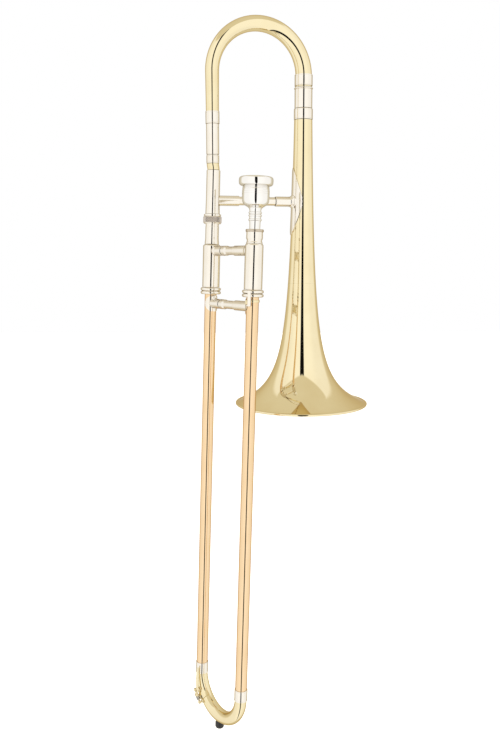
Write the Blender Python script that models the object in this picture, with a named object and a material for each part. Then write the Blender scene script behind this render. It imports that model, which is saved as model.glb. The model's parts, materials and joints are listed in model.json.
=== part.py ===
"""E-flat alto trombone: bell section, tuning slide, inner slide and outer slide.

The instrument hangs as it would on a display stand: bell mouth down, hand slide pointing down.
The origin is the centre of the bell's rim plane, +Z runs up the bell's axis towards the tuning bow,
and the player's side faces -Y.  All sizes are in metres.

Every sub-part is drawn in the local frame of one of a few empties.  The two slide empties have
their +Z pointing down the slide and their +X pointing from the lower tube to the upper tube, so a
height on the slide is a distance down from the point where the neck meets the gooseneck.  They also
carry the slide's scale, so the numbers used with them are in units of SLIDE_SCALE metres.
"""

from math import acos, atan2, cos, pi, radians, sin, sqrt, tan

import bmesh
import bpy
from mathutils import Matrix, Vector

# ---------------------------------------------------------------- driving dimensions
GAP = 0.0003                   # clearance between neighbouring solids
WALL = 0.0006                  # thickness of drawn tube

BELL_RIM_RADIUS = 0.08255      # 6.5 inch bell
BELL_CONE_RADIUS = 0.0067      # radius that the horn formula tends to, before the taper
BELL_CONE_SLOPE = 0.0020       # taper of the stem towards the tuning slide
BELL_FLARE_OFFSET = 0.0298     # how early the flare opens
BELL_FLARE_POWER = 1.084       # how suddenly it opens
BELL_SEAM_HEIGHT = 0.150       # the flare is brazed to the stem here
BELL_TOP = 0.3437              # the stem's upper end, in its ferrule
RIM_BEAD_RADIUS = 0.0015

LEG_SPACING = 0.1116           # between the two legs of the tuning slide
BOW_TOP = 0.4496               # height of the bow's centre line
BOW_PLANE_ANGLE = radians(16.0)     # turns the gooseneck's leg towards the player's side

SLIDE_START = Vector((-0.1061, -0.0308, 0.2967))
SLIDE_LEAN_X = radians(1.79)   # the slide leans away from the bell as it goes down
SLIDE_LEAN_Y = radians(1.72)
SLIDE_PLANE_ANGLE = radians(53.3)   # from the XZ plane, the other way from the bow's plane
SLIDE_SCALE = 0.969            # slide parts are drawn for a 14.4 mm outer tube; this one is 13.95 mm
SLIDE_WIDTH = 0.0862           # between the two tubes of the hand slide, before the scale

OUTER_TUBE_RADIUS = 0.0072
OUTER_TUBE_BORE = 0.0067
INNER_TUBE_RADIUS = 0.0060
INNER_TUBE_BORE = 0.0056
STOCKING_RADIUS = 0.00635
OUTER_TUBE_TOP = 0.1505        # distances down the slide
OUTER_TUBE_END = 0.6465
LOWER_INNER_TUBE_TOP = 0.1030
UPPER_INNER_TUBE_TOP = 0.1097  # just under the mouthpiece's shank
STOCKING_TOP = 0.5150
STOCKING_END = 0.6320
CROOK_FERRULE_TOP = 0.6406
CROOK_FERRULE_END = 0.6548
CROOK_START = 0.6530           # the straight tubes end and the bend begins
CROOK_RADIUS = SLIDE_WIDTH / 2
CROOK_DEPTH = 0.0420           # the bend is a little flatter than a half circle
CROOK_TUBE_RADIUS = 0.0072     # where it leaves the ferrules
CROOK_TUBE_SWELL = 0.0012      # more at its lowest point

BARREL_RADIUS = 0.01055
BARREL_BORE = 0.0080
BARREL_TOP = 0.1028
BARREL_END = 0.1548
END_RING_RADIUS = 0.0119
END_RING_END = 0.1633

INNER_BRACE_DOWN = 0.1107
OUTER_BRACE_DOWN = 0.1745
BRACE_SOCKET_RADIUS = 0.0059
BRACE_ROD_RADIUS = 0.0050
BELL_BRACE_HEIGHT = 0.2479

LOCK_TAB_FROM_FRONT = radians(19)   # directions round the upper tube, clockwise from the player's side
CATCH_FROM_FRONT = radians(48)
KNOB_DISTANCE = 0.0145              # from the lower tube's axis, along the outer brace
KNOB_TILT = radians(32)             # from straight up the slide towards the player's side

KEY_CROOK_ANGLE = radians(41)       # where on the bend the water key sits
KEY_TURN = radians(85)              # hinge: direction round the tube, from the bend's outer side
KEY_PAD_TURN = radians(28)          # spout and cork pad
KEY_TIP_TURN = radians(120)         # fingertip end of the lever
KEY_TIP_DISTANCE = 0.0384           # hinge to fingertip end, along the tube
KEY_AXIS_DISTANCE = 0.0126          # hinge axis to tube axis; the axis runs along the tube
KEY_POST_SPACING = 0.0160
KEY_POST_BALL_RADIUS = 0.0022
KEY_BARREL_RADIUS = 0.0017
KEY_PIN_RADIUS = 0.0008

ROUND = 16                     # sides of an ordinary tube
ROUND_LARGE = 20               # sides of a barrel
ROUND_BELL = 36                # sides of the bell

COLOURS = {                    # base colour, roughness
    "lacquered_brass": ((0.83, 0.68, 0.34), 0.16),
    "gold_brass": ((0.86, 0.58, 0.33), 0.18),
    "nickel_silver": ((0.80, 0.77, 0.71), 0.20),
    "silver_plate": ((0.90, 0.89, 0.87), 0.12),
    "steel": ((0.60, 0.60, 0.62), 0.30),
    "cork": ((0.62, 0.42, 0.24), 0.90),
    "rubber": ((0.02, 0.02, 0.02), 0.70),
}
NOT_METAL = ("cork", "rubber")


# ---------------------------------------------------------------- helpers
def clear_scene():
    for obj in list(bpy.data.objects):
        bpy.data.objects.remove(obj, do_unlink=True)


def material_for(name, finish):
    colour, roughness = COLOURS[finish]
    material = bpy.data.materials.new(name)
    material.use_nodes = True
    shader = material.node_tree.nodes["Principled BSDF"]
    shader.inputs["Base Color"].default_value = (*colour, 1.0)
    shader.inputs["Roughness"].default_value = roughness
    shader.inputs["Metallic"].default_value = 0.0 if finish in NOT_METAL else 1.0
    return material


def make_empty(name, matrix):
    empty = bpy.data.objects.new(name, None)
    bpy.context.collection.objects.link(empty)
    empty.matrix_world = matrix
    return empty


def finish_mesh(bm):
    """Weld the seams and turn every face outward."""
    bmesh.ops.remove_doubles(bm, verts=bm.verts, dist=1e-6)
    bmesh.ops.recalc_face_normals(bm, faces=bm.faces)


def add_object(name, bm, parent, finish):
    finish_mesh(bm)
    mesh = bpy.data.meshes.new(name)
    bm.to_mesh(mesh)
    bm.free()
    mesh.shade_smooth()
    mesh.set_sharp_from_angle(angle=radians(35))
    obj = bpy.data.objects.new(name, mesh)
    bpy.context.collection.objects.link(obj)
    obj.parent = parent
    if finish:
        obj.data.materials.append(material_for(name, finish))
    return obj


def lathe(profile, sides):
    """Turn a closed outline of (radius, height) points about the local Z axis."""
    bm = bmesh.new()
    verts = [bm.verts.new((radius, 0.0, height)) for radius, height in profile]
    edges = [bm.edges.new((a, b)) for a, b in zip(verts, verts[1:] + verts[:1]) if a.co.x + b.co.x > 0]
    bmesh.ops.spin(bm, geom=verts + edges, cent=(0, 0, 0), axis=(0, 0, 1),
                   angle=2 * pi, steps=sides, use_merge=True)
    return bm


def turned(name, parent, finish, outer, inner=(), sides=ROUND):
    """A turned piece: its outer outline from top to bottom, and its bore in the same direction."""
    return add_object(name, lathe(list(outer) + list(reversed(inner)), sides), parent, finish)


def straight(radius, start, end):
    return [(radius, start), (radius, end)]


def arc(centre, radius, start, end, steps):
    """Points on a circular arc in an outline's plane; angles in degrees from the +radius side."""
    points = []
    for step in range(steps + 1):
        angle = radians(start + (end - start) * step / steps)
        points.append((centre[0] + radius * cos(angle), centre[1] + radius * sin(angle)))
    return points


def bead(radius, height, size, steps=3):
    """Half-round ridge on a cylinder: `radius` is the cylinder's, `size` the ridge's own."""
    return arc((radius, height), size, -90, 90, steps)


def place_ring(bm, centre, across, up, radius, sides):
    ring = []
    for step in range(sides):
        angle = 2 * pi * step / sides
        ring.append(bm.verts.new(centre + radius * (cos(angle) * across + sin(angle) * up)))
    return ring


def bridge(bm, first, second):
    """Join two rings of the same length with a band of faces."""
    for step in range(len(first)):
        after = (step + 1) % len(first)
        bm.faces.new((first[step], first[after], second[after], second[step]))


def swept(path, outer_radii, inner_radii, sides):
    """A hollow tube along a path of points, with an outer and an inner radius at each point."""
    bm = bmesh.new()
    outer_rings = []
    inner_rings = []
    across = None
    for index, point in enumerate(path):
        before = path[max(index - 1, 0)]
        after = path[min(index + 1, len(path) - 1)]
        tangent = (after - before).normalized()
        if across is None:
            across = tangent.orthogonal()
        across = (across - across.dot(tangent) * tangent).normalized()
        up = tangent.cross(across)
        outer_rings.append(place_ring(bm, point, across, up, outer_radii[index], sides))
        inner_rings.append(place_ring(bm, point, across, up, inner_radii[index], sides))
    for rings in (outer_rings, inner_rings):
        for first, second in zip(rings, rings[1:]):
            bridge(bm, first, second)
    bridge(bm, outer_rings[0], inner_rings[0])
    bridge(bm, outer_rings[-1], inner_rings[-1])
    return bm


def wrapped_patch(radius_in, radius_out, half_height, half_angle, columns=6, rows=4):
    """A plate bent round the Z axis and centred on +X, which covers `half_angle(t)` on either side
    at each t from -1 (lowest) to 1 (highest)."""
    bm = bmesh.new()
    layers = []
    for radius in (radius_in, radius_out):
        layer = []
        for row in range(rows + 1):
            t = -1 + 2 * row / rows
            reach = half_angle(t)
            line = []
            for column in range(columns + 1):
                angle = reach * (-1 + 2 * column / columns)
                line.append(bm.verts.new((radius * cos(angle), radius * sin(angle), half_height * t)))
            layer.append(line)
        layers.append(layer)
    for layer in layers:
        for row in range(rows):
            for column in range(columns):
                bm.faces.new((layer[row][column], layer[row][column + 1],
                              layer[row + 1][column + 1], layer[row + 1][column]))
    borders = []
    for layer in layers:
        border = [layer[0][column] for column in range(columns + 1)]
        border += [layer[row][columns] for row in range(1, rows + 1)]
        border += [layer[rows][column] for column in range(columns - 1, -1, -1)]
        border += [layer[row][0] for row in range(rows - 1, 0, -1)]
        borders.append(border)
    bridge(bm, borders[0], borders[1])
    return bm


def block(low, high):
    """A rectangular block between two corners."""
    bm = bmesh.new()
    size = Vector(high) - Vector(low)
    centre = (Vector(high) + Vector(low)) / 2
    bmesh.ops.create_cube(bm, size=1.0, matrix=Matrix.Translation(centre) @ Matrix.Diagonal((*size, 1.0)))
    return bm


def moved(bm, matrix):
    bmesh.ops.transform(bm, matrix=matrix, verts=bm.verts)
    return bm


def combine(obj, bm, operation):
    """Add a Boolean modifier whose tool is a hidden helper in the same local frame."""
    helper = add_object(obj.name + "_" + operation.lower() + str(len(obj.modifiers)), bm, obj.parent, None)
    helper.hide_render = True
    helper.display_type = "WIRE"
    modifier = obj.modifiers.new(operation.title(), "BOOLEAN")
    modifier.operation = operation
    modifier.object = helper
    return obj


# ---------------------------------------------------------------- frames
def slide_frame():
    """+Z down the slide, +X from the lower tube to the upper tube."""
    down = Vector((-tan(SLIDE_LEAN_X), -tan(SLIDE_LEAN_Y), -1.0)).normalized()
    across = Vector((cos(SLIDE_PLANE_ANGLE), -sin(SLIDE_PLANE_ANGLE), 0.0))
    across = (across - across.dot(down) * down).normalized()
    side = down.cross(across)
    matrix = Matrix((across, side, down)).transposed().to_4x4()
    matrix.translation = SLIDE_START
    return matrix @ Matrix.Scale(SLIDE_SCALE, 4)


def make_frames():
    lower = slide_frame()
    bow_plane = Matrix.Rotation(BOW_PLANE_ANGLE, 4, "Z")
    frames = {
        "bell": make_empty("bell_axis", Matrix.Identity(4)),
        "bow": make_empty("bow_plane_axis", bow_plane),
        "leg": make_empty("gooseneck_leg_axis", bow_plane @ Matrix.Translation((-LEG_SPACING, 0, 0))),
        "lower": make_empty("lower_slide_axis", lower),
        "upper": make_empty("upper_slide_axis", lower @ Matrix.Translation((SLIDE_WIDTH, 0, 0))),
        "key": make_empty("water_key_axis", lower @ water_key_matrix()),
    }
    bpy.context.view_layer.update()
    return frames


# ---------------------------------------------------------------- bell section
def bell_radius(height):
    """Horn formula: a gentle cone plus a power-law flare."""
    flare_size = (BELL_RIM_RADIUS - BELL_CONE_RADIUS) * BELL_FLARE_OFFSET ** BELL_FLARE_POWER
    flare = flare_size / (height + BELL_FLARE_OFFSET) ** BELL_FLARE_POWER
    return BELL_CONE_RADIUS - BELL_CONE_SLOPE * height + flare


def bell_wall(low, high, steps, crowding):
    """Outer and inner outlines of a stretch of bell, with points crowded towards its lower end."""
    outer = []
    inner = []
    for step in range(steps + 1):
        height = low + (high - low) * (step / steps) ** crowding
        slope = (bell_radius(height + 1e-4) - bell_radius(height - 1e-4)) / 2e-4
        length = sqrt(1 + slope * slope)
        outer.append((bell_radius(height), height))
        inner.append((bell_radius(height) - WALL / length, height + WALL * slope / length))
    return outer, inner


def build_bell(frames):
    axis = frames["bell"]
    outer, inner = bell_wall(0.0012, BELL_SEAM_HEIGHT, 10, 1.9)
    rim_roll = arc((BELL_RIM_RADIUS - RIM_BEAD_RADIUS, 0.0), RIM_BEAD_RADIUS, 130, -180, 5)
    profile = list(reversed(outer)) + rim_roll
    turned("bell_flare", axis, "lacquered_brass", profile, list(reversed(inner)), ROUND_BELL)

    outer, inner = bell_wall(BELL_SEAM_HEIGHT + GAP, BELL_TOP, 5, 1.2)
    turned("bell_stem", axis, "lacquered_brass", outer, inner, ROUND_LARGE)

    turned("bell_ferrule", axis, "nickel_silver",
           [(0.0100, 0.3440), (0.0113, 0.3442), (0.0113, 0.3564), (0.0108, 0.3568)],
           straight(0.0097, 0.3440, 0.3568), ROUND_LARGE)
    sleeve = [(0.0106, 0.3571), (0.0106, 0.3784)]
    sleeve += bead(0.0102, 0.3800, 0.0010)
    turned("bell_tuning_sleeve", axis, "nickel_silver", sleeve, straight(0.0097, 0.3571, 0.3812), ROUND_LARGE)


def build_gooseneck(frames):
    leg = frames["leg"]
    turned("gooseneck_inner_leg", leg, "nickel_silver",
           straight(0.0067, 0.2999, 0.3452), straight(0.0062, 0.2999, 0.3452))
    turned("gooseneck_ferrule", leg, "nickel_silver",
           [(0.0072, 0.2905), (0.0075, 0.2909), (0.0075, 0.2992), (0.0072, 0.2996)],
           straight(0.0064, 0.2905, 0.2996))
    bend = gooseneck_path()
    radii = [0.0071] * len(bend)
    bores = [0.0062] * len(bend)
    add_object("gooseneck_tube", swept(bend, radii, bores, ROUND), frames["bell"], "lacquered_brass")

    neck = [(0.0079, 0.0146), (0.0083, 0.0152), (0.0083, 0.0480), (0.0087, 0.0660), (0.0087, 0.0665)]
    neck += [(0.0070, 0.0665), (0.0070, 0.0692), (0.0082, 0.0692), (0.0082, 0.0714)]
    turned("neck_tube", frames["lower"], "nickel_silver", neck, straight(0.0061, 0.0146, 0.0714))


def gooseneck_path():
    """The short tube that turns from the tuning leg's direction to the hand slide's."""
    down = slide_frame().to_3x3().col[2].normalized()
    top = Matrix.Rotation(BOW_PLANE_ANGLE, 3, "Z") @ Vector((-LEG_SPACING, 0.0, 0.2902))
    end = SLIDE_START + (0.0146 * SLIDE_SCALE - GAP) * down
    straight_end = 0.0012
    after_top = top - Vector((0, 0, straight_end))
    before_end = end - straight_end * down
    return [top, after_top, (after_top + before_end) / 2, before_end, end]


def brace_socket(name, parent, tube_radius, start, end, height, direction=1, flange=None, shoulder=0.0):
    """A socket on the side of a tube, along the parent's X, cut to sit on the tube.

    `start` is where the socket leaves the tube and `end` where it receives the rod.  `flange` gives
    the half height and the outline of a plate that wraps the tube."""
    to_brace = Matrix.Translation((0, 0, height)) @ Matrix.Rotation(direction * pi / 2, 4, "Y")
    bore = BRACE_ROD_RADIUS + GAP
    lip = 0.0005
    foot = max(start - 0.004, 0.002)
    outline = [(0.0, foot), (BRACE_SOCKET_RADIUS + shoulder, foot), (BRACE_SOCKET_RADIUS + shoulder, start)]
    outline += [(BRACE_SOCKET_RADIUS, start + 0.002 + shoulder), (BRACE_SOCKET_RADIUS, end - lip)]
    outline += [(BRACE_SOCKET_RADIUS - lip, end), (bore, end), (bore, end - 0.0060), (0.0, end - 0.0060)]
    obj = add_object(name, moved(lathe(outline, ROUND), to_brace), parent, "nickel_silver")
    if flange:
        half_height, half_angle = flange
        plate = wrapped_patch(tube_radius + GAP, tube_radius + 0.0011, half_height, half_angle)
        turn = Matrix.Rotation(0 if direction > 0 else pi, 4, "Z")
        combine(obj, moved(plate, Matrix.Translation((0, 0, height)) @ turn), "UNION")
    tool = [(0.0, -0.06), (tube_radius + GAP, -0.06), (tube_radius + GAP, 0.06), (0.0, 0.06)]
    cutter = moved(lathe(tool, ROUND_LARGE), Matrix.Translation((0, 0, height)))
    return combine(obj, cutter, "DIFFERENCE")


def brace_rod(name, parent, start, end, height, shoulder_end=None):
    """A solid rod along the parent's X that enters a socket at each end."""
    to_brace = Matrix.Translation((0, 0, height)) @ Matrix.Rotation(pi / 2, 4, "Y")
    into = 0.0055
    radius = BRACE_ROD_RADIUS
    outline = [(0.0, start - into), (radius, start - into), (radius, start + GAP)]
    if shoulder_end:
        outline += [(BRACE_SOCKET_RADIUS, start + GAP), (BRACE_SOCKET_RADIUS, shoulder_end)]
        outline += [(radius, shoulder_end + 0.0025)]
    outline += [(radius, end + into), (0.0, end + into)]
    return add_object(name, moved(lathe(outline, ROUND), to_brace), parent, "nickel_silver")


def oval_reach(t):
    return radians(84) * sqrt(max(1 - t * t, 0.0)) + radians(4)


def diamond_reach(t):
    """Edges of the diamond that look straight from the player's side, although its middle is turned away."""
    turn = bell_brace_line()[1]
    return acos(cos(turn) * min(abs(t), 1.0)) - turn + radians(1.5)


def bell_brace_line():
    """The bell brace runs level from the neck's axis to the bell's: its length and its direction."""
    drop = SLIDE_START.z - BELL_BRACE_HEIGHT
    neck = Vector((SLIDE_START.x - tan(SLIDE_LEAN_X) * drop, SLIDE_START.y - tan(SLIDE_LEAN_Y) * drop))
    return neck.length, atan2(-neck.y, -neck.x)


def build_bell_brace():
    length, direction = bell_brace_line()
    to_bell = Matrix.Rotation(direction, 4, "Z")
    neck_place = make_empty("neck_brace_axis", to_bell @ Matrix.Translation((-length, 0, 0)))
    bell_place = make_empty("bell_brace_axis", to_bell)
    neck_radius = 0.0082
    socket_end = 0.0317
    reach = 0.0353
    height = BELL_BRACE_HEIGHT
    brace_socket("bell_brace_neck_socket", neck_place, neck_radius, neck_radius, socket_end, height)
    brace_rod("bell_brace_rod", neck_place, socket_end, length - reach, height)

    tilt = atan2(bell_radius(height - 0.02) - bell_radius(height + 0.02), 0.04)
    radius = bell_radius(height) + 0.0004
    half_height = 0.0400
    to_brace = Matrix.Translation((0, 0, height)) @ Matrix.Rotation(-pi / 2, 4, "Y")
    bore = BRACE_ROD_RADIUS + GAP
    socket_bottom = reach - 0.0060
    foot_radius = 0.0075
    outline = [(0.0, 0.008), (foot_radius, 0.008), (foot_radius, radius + 0.0008)]
    outline += [(BRACE_SOCKET_RADIUS, radius + 0.004), (BRACE_SOCKET_RADIUS, reach - 0.0005)]
    outline += [(BRACE_SOCKET_RADIUS - 0.0005, reach), (bore, reach)]
    outline += [(bore, socket_bottom), (0.0, socket_bottom)]
    socket = moved(lathe(outline, ROUND), to_brace)
    flange = add_object("bell_brace_flange", socket, bell_place, "nickel_silver")
    plate = wrapped_patch(radius + GAP, radius + 0.0012, half_height, diamond_reach, 6, 10)
    for vert in plate.verts:
        stretch = 1 - tan(tilt) * vert.co.z / radius
        vert.co.x *= stretch
        vert.co.y *= stretch
    turn = Matrix.Translation((0, 0, height)) @ Matrix.Rotation(pi, 4, "Z")
    combine(flange, moved(plate, turn), "UNION")
    low = height - 0.05
    high = height + 0.05
    tool = [(0.0, high)]
    for step in range(6):
        level = high + (low - high) * step / 5
        tool.append((bell_radius(level) + 0.0004, level))
    tool.append((0.0, low))
    combine(flange, lathe(tool, ROUND_BELL), "DIFFERENCE")


def build_lock_nut(frames):
    """Free-spinning nut that the neck's collar holds and the slide's thread screws into."""
    outer = [(0.0100, 0.0668), (0.0103, 0.0671), (0.0103, 0.0692), (0.0110, 0.0697), (0.0114, 0.0702)]
    outer += [(0.0114, 0.0766), (0.0110, 0.0772), (0.0101, 0.0782)]
    bore = [(0.0073, 0.0668), (0.0073, 0.0688), (0.0088, 0.0688), (0.0088, 0.0782)]
    turned("bell_lock_nut", frames["lower"], "nickel_silver", outer, bore, ROUND_LARGE)


# ---------------------------------------------------------------- tuning slide
def bow_path():
    """A half circle on two straight legs of different length."""
    radius = LEG_SPACING / 2
    centre_height = BOW_TOP - radius
    leg_end = 0.3353
    path = []
    for step in range(3):
        path.append(Vector((-LEG_SPACING, 0, leg_end + (centre_height - leg_end) * step / 3)))
    for step in range(15):
        angle = pi * (1 - step / 14)
        path.append(Vector((radius * cos(angle) - radius, 0, centre_height + radius * sin(angle))))
    path.append(Vector((0, 0, 0.3815)))
    return path


def build_tuning_slide(frames):
    path = bow_path()
    lengths = [0.0]
    for first, second in zip(path, path[1:]):
        lengths.append(lengths[-1] + (second - first).length)
    small = 0.0074
    large = 0.00995
    outer = [small + (large - small) * length / lengths[-1] for length in lengths]
    inner = [radius - WALL for radius in outer]
    add_object("tuning_bow", swept(path, outer, inner, ROUND), frames["bow"], "lacquered_brass")

    leg = frames["leg"]
    ferrule = [(0.0079, 0.3352), (0.0081, 0.3355), (0.0081, 0.3487), (0.0079, 0.3490)]
    turned("bow_ferrule_gooseneck", leg, "nickel_silver", ferrule, straight(0.0077, 0.3352, 0.3490))
    turned("gooseneck_tuning_sleeve", leg, "nickel_silver",
           [(0.0072, 0.3008), (0.0075, 0.3011), (0.0075, 0.3349)], straight(0.0070, 0.3008, 0.3349))

    axis = frames["bell"]
    ferrule = [(0.0105, 0.3827), (0.0107, 0.3830), (0.0107, 0.3950), (0.0104, 0.3953)]
    turned("bow_ferrule_bell", axis, "nickel_silver", ferrule, straight(0.01025, 0.3827, 0.3953), ROUND_LARGE)
    turned("bell_side_inner_leg", axis, "nickel_silver",
           straight(0.0094, 0.3450, 0.3812), straight(0.0088, 0.3450, 0.3812), ROUND_LARGE)


# ---------------------------------------------------------------- inner slide
def barrel_outline(radius, neck_radius, top, end):
    return [(neck_radius, top), (radius - 0.0006, top + 0.0012), (radius, top + 0.0020), (radius, end)]


def build_barrel(name, parent, top_radius):
    """Cork barrel: closed round the inner tube at the top, open to the outer tube at the bottom."""
    outer = barrel_outline(BARREL_RADIUS, top_radius, BARREL_TOP, BARREL_END)
    bore = [(0.0063, BARREL_TOP), (0.0063, BARREL_TOP + 0.0040), (BARREL_BORE, BARREL_TOP + 0.0040)]
    bore.append((BARREL_BORE, BARREL_END))
    turned(name, parent, "nickel_silver", outer, bore, ROUND_LARGE)


def ring_beads(radius, height, count):
    outline = []
    for index in range(count):
        outline += bead(radius - 0.0014, height + 0.0021 + 0.0042 * index, 0.0020)
    return outline


def build_spring(name, parent):
    """Coil that cushions the closing slide, between the barrel's top and its bumper ring."""
    turns = 5
    steps_per_turn = 10
    wire_radius = 0.00045
    coil_radius = 0.0071
    top = BARREL_TOP + 0.0050
    length = 0.0300
    path = []
    for step in range(turns * steps_per_turn + 1):
        angle = 2 * pi * step / steps_per_turn
        height = top + length * step / (turns * steps_per_turn)
        path.append(Vector((coil_radius * cos(angle), coil_radius * sin(angle), height)))
    add_object(name, solid_wire(path, [wire_radius] * len(path), 4), parent, "steel")


def solid_wire(path, radii, sides):
    """A solid round bar along a path of points, with a radius at each point."""
    bm = bmesh.new()
    rings = []
    across = None
    for index, point in enumerate(path):
        tangent = (path[min(index + 1, len(path) - 1)] - path[max(index - 1, 0)]).normalized()
        if across is None:
            across = tangent.orthogonal()
        across = (across - across.dot(tangent) * tangent).normalized()
        rings.append(place_ring(bm, point, across, tangent.cross(across), radii[index], sides))
    for first, second in zip(rings, rings[1:]):
        bridge(bm, first, second)
    bm.faces.new(list(reversed(rings[0])))
    bm.faces.new(rings[-1])
    return bm


def build_inner_slide(frames):
    lower = frames["lower"]
    upper = frames["upper"]

    tenon = [(0.0054, 0.0480), (0.0058, 0.0717), (0.0085, 0.0717), (0.0085, 0.0779), (0.0080, 0.0785)]
    tenon += [(0.0080, 0.0812), (0.0082, 0.0816), (0.0082, 0.0960), (0.0086, 0.1000), (0.0086, 0.1025)]
    turned("slide_receiver_tube", lower, "nickel_silver", tenon, straight(0.0050, 0.0480, 0.1025))

    cup = [(0.0103, 0.0869), (0.0103, 0.0899), (0.0094, 0.0899), (0.0095, 0.0975), (0.0088, 0.0990)]
    cup += [(0.0087, 0.1005), (0.0094, 0.1025)]
    taper = [(0.0065, 0.0869), (0.0061, 0.1025)]
    turned("mouthpiece_receiver", upper, "nickel_silver", cup, taper, ROUND_LARGE)

    sides = (("lower", lower, 0.0088, LOWER_INNER_TUBE_TOP), ("upper", upper, 0.0096, UPPER_INNER_TUBE_TOP))
    for side, parent, top_radius, tube_top in sides:
        build_barrel(side + "_cork_barrel", parent, top_radius)
        build_spring(side + "_barrel_spring", parent)
        turned(side + "_barrel_bumper", parent, "cork",
               straight(0.0077, 0.1400, 0.1500), straight(INNER_TUBE_RADIUS + GAP, 0.1400, 0.1500))
        turned(side + "_inner_tube", parent, "nickel_silver",
               straight(INNER_TUBE_RADIUS, tube_top, STOCKING_TOP),
               straight(INNER_TUBE_BORE, tube_top, STOCKING_TOP))
        turned(side + "_stocking", parent, "nickel_silver",
               [(INNER_TUBE_RADIUS, STOCKING_TOP + GAP), (STOCKING_RADIUS, STOCKING_TOP + 0.0025),
                (STOCKING_RADIUS, STOCKING_END)],
               straight(INNER_TUBE_BORE, STOCKING_TOP + GAP, STOCKING_END))

    ring_bore = straight(BARREL_BORE, BARREL_END + GAP, END_RING_END)
    turned("lower_barrel_end_ring", lower, "nickel_silver",
           ring_beads(END_RING_RADIUS, BARREL_END + GAP, 2), ring_bore, ROUND_LARGE)
    middle = (BARREL_END + END_RING_END) / 2
    turned("upper_barrel_end_ring", upper, "nickel_silver",
           ring_beads(END_RING_RADIUS, BARREL_END + GAP, 1),
           straight(BARREL_BORE, BARREL_END + GAP, middle + 0.0001), ROUND_LARGE)

    turned("leadpipe", upper, "nickel_silver", [(0.0053, 0.1120), (0.0052, 0.3000)],
           [(0.0048, 0.1120), (0.0049, 0.3000)])

    left_end = 0.0249
    right_start = 0.0495
    brace_socket("inner_brace_lower_socket", lower, BARREL_RADIUS, BARREL_RADIUS, left_end, INNER_BRACE_DOWN,
                 direction=1, shoulder=0.0006)
    brace_rod("inner_brace_rod", lower, left_end, right_start, INNER_BRACE_DOWN, shoulder_end=0.0330)
    brace_socket("inner_brace_upper_socket", upper, BARREL_RADIUS, BARREL_RADIUS, SLIDE_WIDTH - right_start,
                 INNER_BRACE_DOWN, direction=-1, shoulder=0.0006)


def tab_at(angle, radius_in, radius_out, start, end, width):
    """A small upright tab at an angle round the axis."""
    return moved(block((radius_in, -width / 2, start), (radius_out, width / 2, end)),
                 Matrix.Rotation(angle, 4, "Z"))


def around_slide(angle_from_front):
    """Angle round the slide's axis of a direction given clockwise from the player's side."""
    matrix = slide_frame().to_3x3()
    direction = Vector((-sin(angle_from_front), -cos(angle_from_front), 0))
    return atan2(direction.dot(matrix.col[1]), direction.dot(matrix.col[0]))


def build_slide_lock(frames):
    """Ring on the upper barrel's end whose hooked tab turns under the outer slide's catch."""
    upper = frames["upper"]
    start = (BARREL_END + END_RING_END) / 2 + 0.0004
    ring = turned("slide_lock_ring", upper, "nickel_silver",
                  ring_beads(END_RING_RADIUS, start - 0.0001, 1),
                  straight(BARREL_BORE, start, END_RING_END + 0.0002), ROUND_LARGE)
    angle = around_slide(LOCK_TAB_FROM_FRONT)
    combine(ring, tab_at(angle, 0.0093, 0.0106, start + 0.0012, 0.1756, 0.0034), "UNION")
    hook_angle = around_slide(LOCK_TAB_FROM_FRONT + radians(10))
    combine(ring, tab_at(hook_angle, 0.0094, 0.0105, 0.1738, 0.1755, 0.0036), "UNION")


# ---------------------------------------------------------------- mouthpiece
def build_mouthpiece(frames):
    top = 0.0286
    outside = [(0.0150, 0.0004), (0.0163, 0.0), (0.0180, 0.0004), (0.0191, 0.0016), (0.0195, 0.0034)]
    outside += [(0.0194, 0.0074), (0.0185, 0.0090), (0.0166, 0.0098), (0.0150, 0.0104)]
    outside += [(0.0150, 0.0128), (0.0156, 0.0165), (0.0156, 0.0205), (0.0150, 0.0250), (0.0137, 0.0285)]
    outside += [(0.0115, 0.0312), (0.0090, 0.0328), (0.0077, 0.0345), (0.0069, 0.0365)]
    for ridge in (0.0400, 0.0430, 0.0478):
        outside += [(0.0065, ridge - 0.0011), (0.0071, ridge), (0.0065, ridge + 0.0011)]
    outside += [(0.0064, 0.0500), (0.0057, 0.0805)]
    inside = [(0.0132, 0.0016), (0.0122, 0.0050), (0.0112, 0.0110), (0.0088, 0.0185), (0.0052, 0.0240)]
    inside += [(0.0034, 0.0275), (0.0034, 0.0310), (0.0046, 0.0805)]
    turned("mouthpiece", frames["upper"], "silver_plate",
           [(radius, top + depth) for radius, depth in outside],
           [(radius, top + depth) for radius, depth in inside], ROUND_LARGE)


# ---------------------------------------------------------------- outer slide
def crook_centre(angle):
    """Point on the bend's centre line, from 0 at the lower tube to pi at the upper tube."""
    return Vector((CROOK_RADIUS - CROOK_RADIUS * cos(angle), 0, CROOK_START + CROOK_DEPTH * sin(angle)))


def crook_path():
    """Straight stub, half an ellipse and straight stub, in the lower slide's frame."""
    steps = 15
    stub = OUTER_TUBE_END + GAP
    bend = [crook_centre(pi * step / steps) for step in range(steps + 1)]
    return [Vector((0, 0, stub))] + bend + [Vector((SLIDE_WIDTH, 0, stub))]


def crook_radii(path, extra=0.0):
    """The tube swells towards its lowest point."""
    radii = []
    for point in path:
        depth = max(point.z - CROOK_START, 0.0) / CROOK_DEPTH
        radii.append(CROOK_TUBE_RADIUS + CROOK_TUBE_SWELL * depth + extra)
    return radii


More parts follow.
